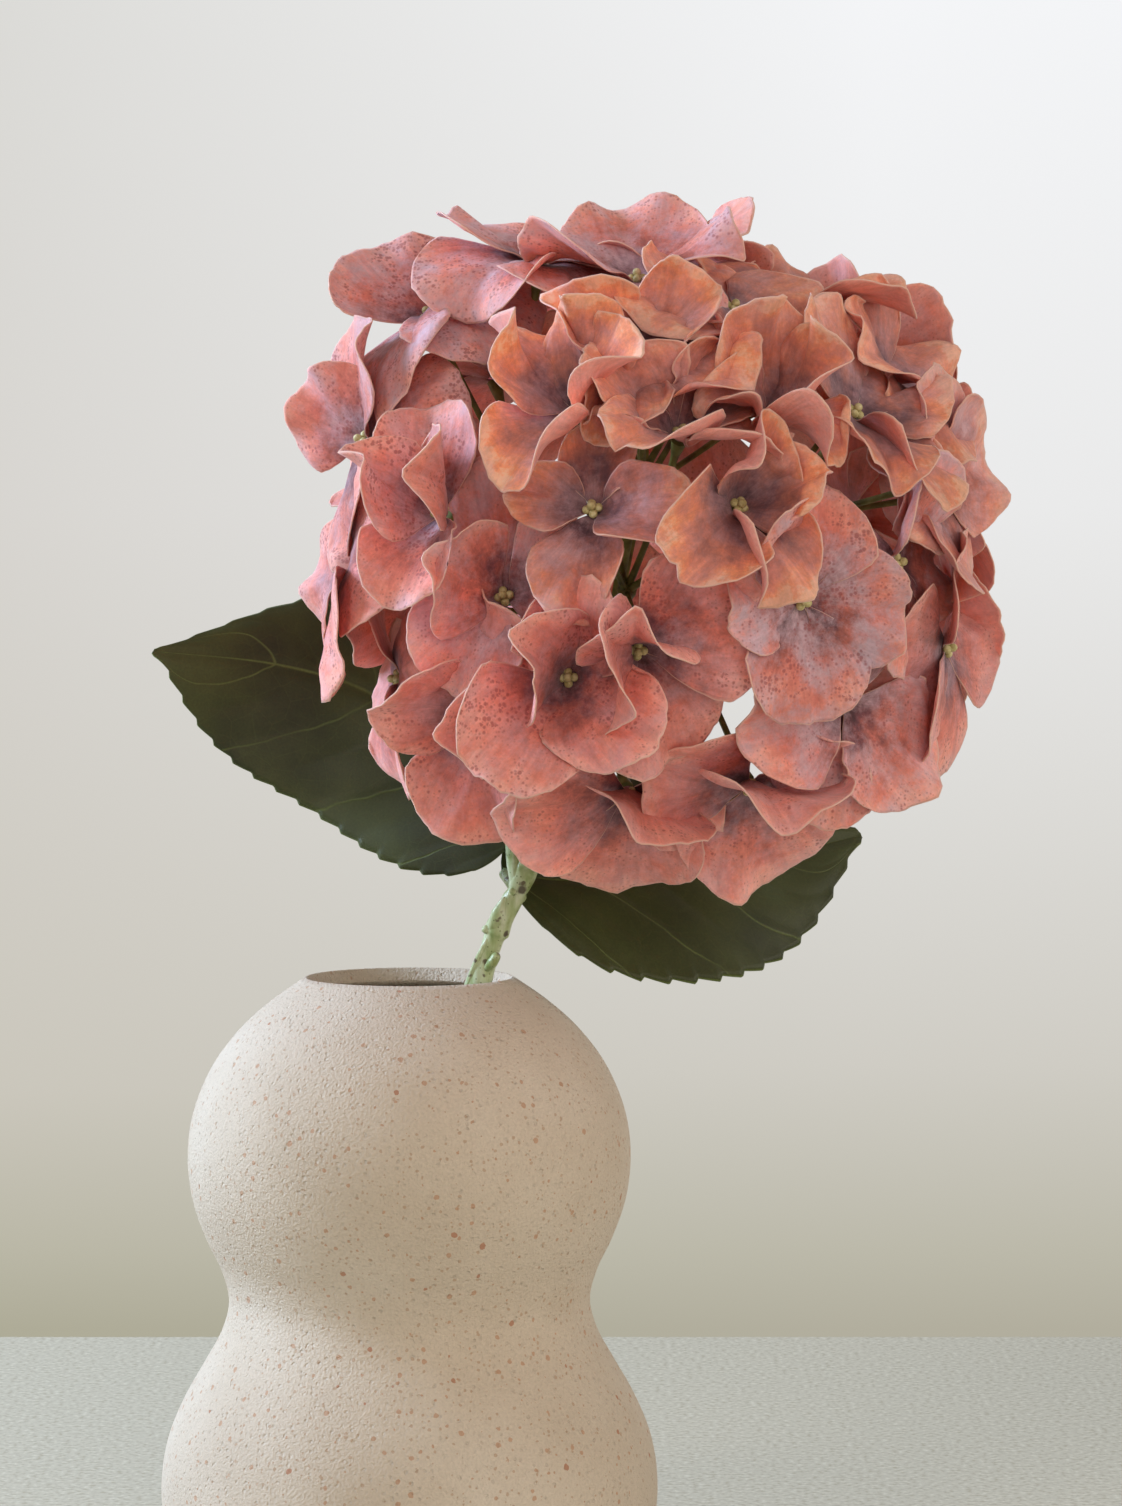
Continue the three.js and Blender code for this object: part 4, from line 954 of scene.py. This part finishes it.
tree.links.new(edged.outputs[2], shader.inputs["Base Color"])
press = node(tree, "ShaderNodeMath", {0: veins.outputs["Fac"], 1: 2.5}, operation="MULTIPLY")
press = node(tree, "ShaderNodeMath", {0: press.outputs[0], 1: fibre.outputs["Fac"]}, operation="ADD")
bump = node(tree, "ShaderNodeBump", {"Height": press.outputs[0], "Strength": 0.35, "Distance": 0.0002})
tree.links.new(bump.outputs[0], shader.inputs["Normal"])


fine_u, fine_v = petal_grid(ACROSS, ALONG)
on_edge = ((np.abs(fine_u) > 0.999) | (fine_v > 0.999)).astype(float)
for name in floret_names:
    look = look_of(name)
    points, faces, tints, marks, charts = [], [], [], [], []
    for number, petal in enumerate(petals):
        if petal[0] != name:
            continue
        shift_by = np.einsum("ij,jkc->ikc", by_row, np.einsum("lk,jkc->jlc", by_column, moved[number]))
        middle = shape_of(petal, fine_u, fine_v) + shift_by
        normal = np.cross(np.gradient(middle, axis=0), np.gradient(middle, axis=1))
        normal /= np.maximum(np.linalg.norm(normal, axis=2, keepdims=True), 1e-12)
        faces.append(sheet_faces(sum(len(p) for p in points), ALONG, ACROSS)[:, ::-1])
        points += two_sides(middle, normal, CLOTH)
        luck_here = random.Random(f"{name} {petal[1]} tone").random()
        for side in (0.0, 1.0):
            marks.append(np.stack([np.full(fine_u.size, side), on_edge.ravel(),
                                   np.full(fine_u.size, luck_here), np.ones(fine_u.size)], axis=1))
            tints.append(np.tile([*look[2:5], 1.0], (fine_u.size, 1)))
            charts.append(np.stack([fine_u.ravel() / 2 + 0.5, fine_v.ravel()], axis=1))
    points, faces = np.concatenate(points), np.concatenate(faces)
    blossom = new_mesh(f"petals_{name[-2:]}", points, faces.tolist(), petal_cloth)
    for title, values in (("tint", tints), ("face", marks)):
        layer = blossom.data.color_attributes.new(title, "FLOAT_COLOR", "POINT")
        layer.data.foreach_set("color", np.concatenate(values).astype(np.float32).ravel())
    set_chart(blossom, "petal", np.concatenate(charts))
    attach(blossom, "root")
    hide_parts(name)

# ---- Branches and pedicels ------------------------------------------------------------
# Green branches leave the swollen end of the stem, and each ends in a knob from which its
# florets' thin pedicels bow out, flaring to a small calyx under the petals.

KNOB_RADIUS = 0.0024
PEDICEL_RADIUS = 0.00078

# Olive plastic, matt, streaked from brown olive to a yellower green.
pedicel_plastic, tree, shader = new_material("olive_polythene_pedicel", Roughness=0.5, IOR=1.5)
place = node(tree, "ShaderNodeTexCoord").outputs["Object"]
streaks = node(tree, "ShaderNodeTexNoise", {"Vector": place, "Scale": 240.0, "Detail": 4.0})
green = node(tree, "ShaderNodeValToRGB", {0: streaks.outputs["Fac"]},
             [(0.3, "#4f4a24"), (0.45, "#68702f"), (0.6, "#7f8844"), (0.75, "#99a05c")])
tree.links.new(green.outputs[0], shader.inputs["Base Color"])
bump = node(tree, "ShaderNodeBump", {"Height": streaks.outputs["Fac"], "Strength": 0.4, "Distance": 0.0004})
tree.links.new(bump.outputs[0], shader.inputs["Normal"])

# The tree makes a round stalk along each line of edges, as thick as its points say.
tree, given, out = new_tree("round_stalks", {"Sides": "NodeSocketInt", "Material": "NodeSocketMaterial"})
paths = node(tree, "GeometryNodeMeshToCurve", {"Mesh": given["Geometry"]})
smooth = node(tree, "GeometryNodeCurveSplineType", {"Curve": paths.outputs[0]}, spline_type="CATMULL_ROM")
cut = node(tree, "GeometryNodeSetSplineResolution", {"Geometry": smooth.outputs[0], "Resolution": 3})
thick = node(tree, "GeometryNodeInputNamedAttribute", {"Name": "thickness"}, data_type="FLOAT")
ring = node(tree, "GeometryNodeCurvePrimitiveCircle", {"Resolution": given["Sides"], "Radius": 1.0})
round_stalk = node(tree, "GeometryNodeCurveToMesh", {
    "Curve": cut.outputs[0], "Profile Curve": ring.outputs[0], "Scale": thick.outputs[0], "Fill Caps": True})
soft = node(tree, "GeometryNodeSetShadeSmooth", {"Geometry": round_stalk.outputs[0]})
whole = node(tree, "GeometryNodeRealizeInstances", {0: soft.outputs[0]})
green = node(tree, "GeometryNodeSetMaterial", {"Geometry": whole.outputs[0], "Material": given["Material"]})
tree.links.new(green.outputs[0], out.inputs[0])


def stalks_mesh(name, stalks):
    """Lines of edges, one for each stalk, with the thickness at each point."""
    points = [tuple(p) for line, _ in stalks for p in line]
    edges, first = [], 0
    for line, _ in stalks:
        edges += [(first + i, first + i + 1) for i in range(len(line) - 1)]
        first += len(line)
    mesh = bpy.data.meshes.new(name)
    mesh.from_pydata(points, edges, [])
    layer = mesh.attributes.new("thickness", "FLOAT", "POINT")
    layer.data.foreach_set("value", [r for _, radii in stalks for r in radii])
    return mesh


knobs = []
for name in sorted(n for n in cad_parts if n.startswith("branch_")):
    shape = np.array([v.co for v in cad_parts[name].data.vertices])
    knobs.append((name, shape[np.linalg.norm(shape - heart, axis=1).argmax()]))
stalks = []
for name, knob in knobs:
    pick = random.Random(name)
    way = knob - heart
    bow = np.cross(way, (pick.uniform(-1, 1), pick.uniform(-1, 1), pick.uniform(-1, 1)))
    bow = bow / np.linalg.norm(bow) * 0.0012
    line = [heart + way * t + bow * math.sin(math.pi * t) for t in (0.05, 0.3, 0.55, 0.8, 0.9, 0.96, 1.0)]
    stalks.append((line, (0.0021, 0.0016, 0.0014, 0.0014, 0.0021, KNOB_RADIUS, 0.0012)))
for name, place in places.items():
    pick = random.Random(name + " pedicel")
    knob = min((k for _, k in knobs), key=lambda k: np.linalg.norm(k - place["foot"]))
    start = place["foot"] - place["axis"] * 0.0018
    way = place["eye"] - place["axis"] * 0.0008 - start
    bow = (place["up"] * pick.uniform(-1, 1) + place["right"] * pick.uniform(-1, 1)) * 0.0009
    line = [start + way * t + bow * math.sin(math.pi * t) for t in (0, 0.2, 0.45, 0.7, 0.88, 0.95, 1.0)]
    r = PEDICEL_RADIUS
    stalks.append((line, (r * 1.25, r, r, r, r * 1.15, r * 1.9, r * 2.4)))
# The swollen end of the stem, from under the heart to over it.
swelling = [heart - np.array((0.0022, -0.001, 0.0058)), heart - np.array((0.001, 0, 0.002)),
            heart + np.array((0, 0, 0.002)), heart + np.array((0.001, -0.0005, 0.0055))]
stalks.append((swelling, (0.0027, 0.0036, 0.0034, 0.0016)))
branches = node_modelled("branches_and_pedicels", tree, {"Sides": 10, "Material": pedicel_plastic},
                         stalks_mesh("stalk_lines", stalks))
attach(branches, "root")
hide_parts("core", *[name for name, _ in knobs])

# ---- Eyes -----------------------------------------------------------------------------
# Every floret's middle is a cluster of five khaki beads, moulded as one and pushed on the
# end of its pedicel: four in a square and one on top.

BEAD = 0.00105  # radius
BEADS_OUT = 1.3  # from the cluster's centre to each bead's, in radii
CLUSTER_UP = 0.0019  # from the pedicel's end to the cluster's centre

# Painted beads: matt khaki, mottled from greener to yellower.
bead_paint, tree, shader = new_material("khaki_painted_bead", Roughness=0.55)
place = node(tree, "ShaderNodeTexCoord").outputs["Object"]
mottle = node(tree, "ShaderNodeTexNoise", {"Vector": place, "Scale": 900.0, "Detail": 2.0})
khaki = node(tree, "ShaderNodeValToRGB", {0: mottle.outputs["Fac"]},
             [(0.3, "#a79c64"), (0.5, "#c8bd84"), (0.7, "#ddd4a4")])
tree.links.new(khaki.outputs[0], shader.inputs["Base Color"])

# The tree puts a cluster of beads on each point, turned to the floret's axis.
tree, given, out = new_tree("bead_clusters", {"Bead": "NodeSocketFloat", "Material": "NodeSocketMaterial"})
ball = node(tree, "GeometryNodeMeshIcoSphere", {"Radius": given["Bead"], "Subdivisions": 2})
wide = node(tree, "ShaderNodeMath", {0: given["Bead"], 1: BEADS_OUT}, operation="MULTIPLY")
square = node(tree, "GeometryNodeMeshCircle", {"Vertices": 4, "Radius": wide.outputs[0]})
four = node(tree, "GeometryNodeInstanceOnPoints", {"Points": square.outputs[0], "Instance": ball.outputs[0]})
above = node(tree, "ShaderNodeCombineXYZ", {2: wide.outputs[0]})
raised = node(tree, "GeometryNodeTransform", {"Geometry": ball.outputs[0], "Translation": above.outputs[0]})
cluster = node(tree, "GeometryNodeJoinGeometry")
tree.links.new(four.outputs[0], cluster.inputs[0])
tree.links.new(raised.outputs[0], cluster.inputs[0])
one = node(tree, "GeometryNodeGeometryToInstance")
tree.links.new(cluster.outputs[0], one.inputs[0])
axis = node(tree, "GeometryNodeInputNamedAttribute", {"Name": "axis"}, data_type="FLOAT_VECTOR")
facing = node(tree, "FunctionNodeAlignRotationToVector", {"Vector": axis.outputs[0]}, axis="Z")
set_on = node(tree, "GeometryNodeInstanceOnPoints", {
    "Points": given["Geometry"], "Instance": one.outputs[0], "Rotation": facing.outputs[0]})
soft = node(tree, "GeometryNodeRealizeInstances", {0: set_on.outputs[0]})
soft = node(tree, "GeometryNodeSetShadeSmooth", {"Geometry": soft.outputs[0]})
painted = node(tree, "GeometryNodeSetMaterial", {"Geometry": soft.outputs[0], "Material": given["Material"]})
tree.links.new(painted.outputs[0], out.inputs[0])
centres = bpy.data.meshes.new("eye_centres")
centres.from_pydata([tuple(p["eye"] + p["axis"] * CLUSTER_UP) for p in places.values()], [], [])
layer = centres.attributes.new("axis", "FLOAT_VECTOR", "POINT")
layer.data.foreach_set("vector", np.concatenate([p["axis"] for p in places.values()]))
beads = node_modelled("eye_beads", tree, {"Bead": BEAD, "Material": bead_paint}, centres)
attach(beads, "root")
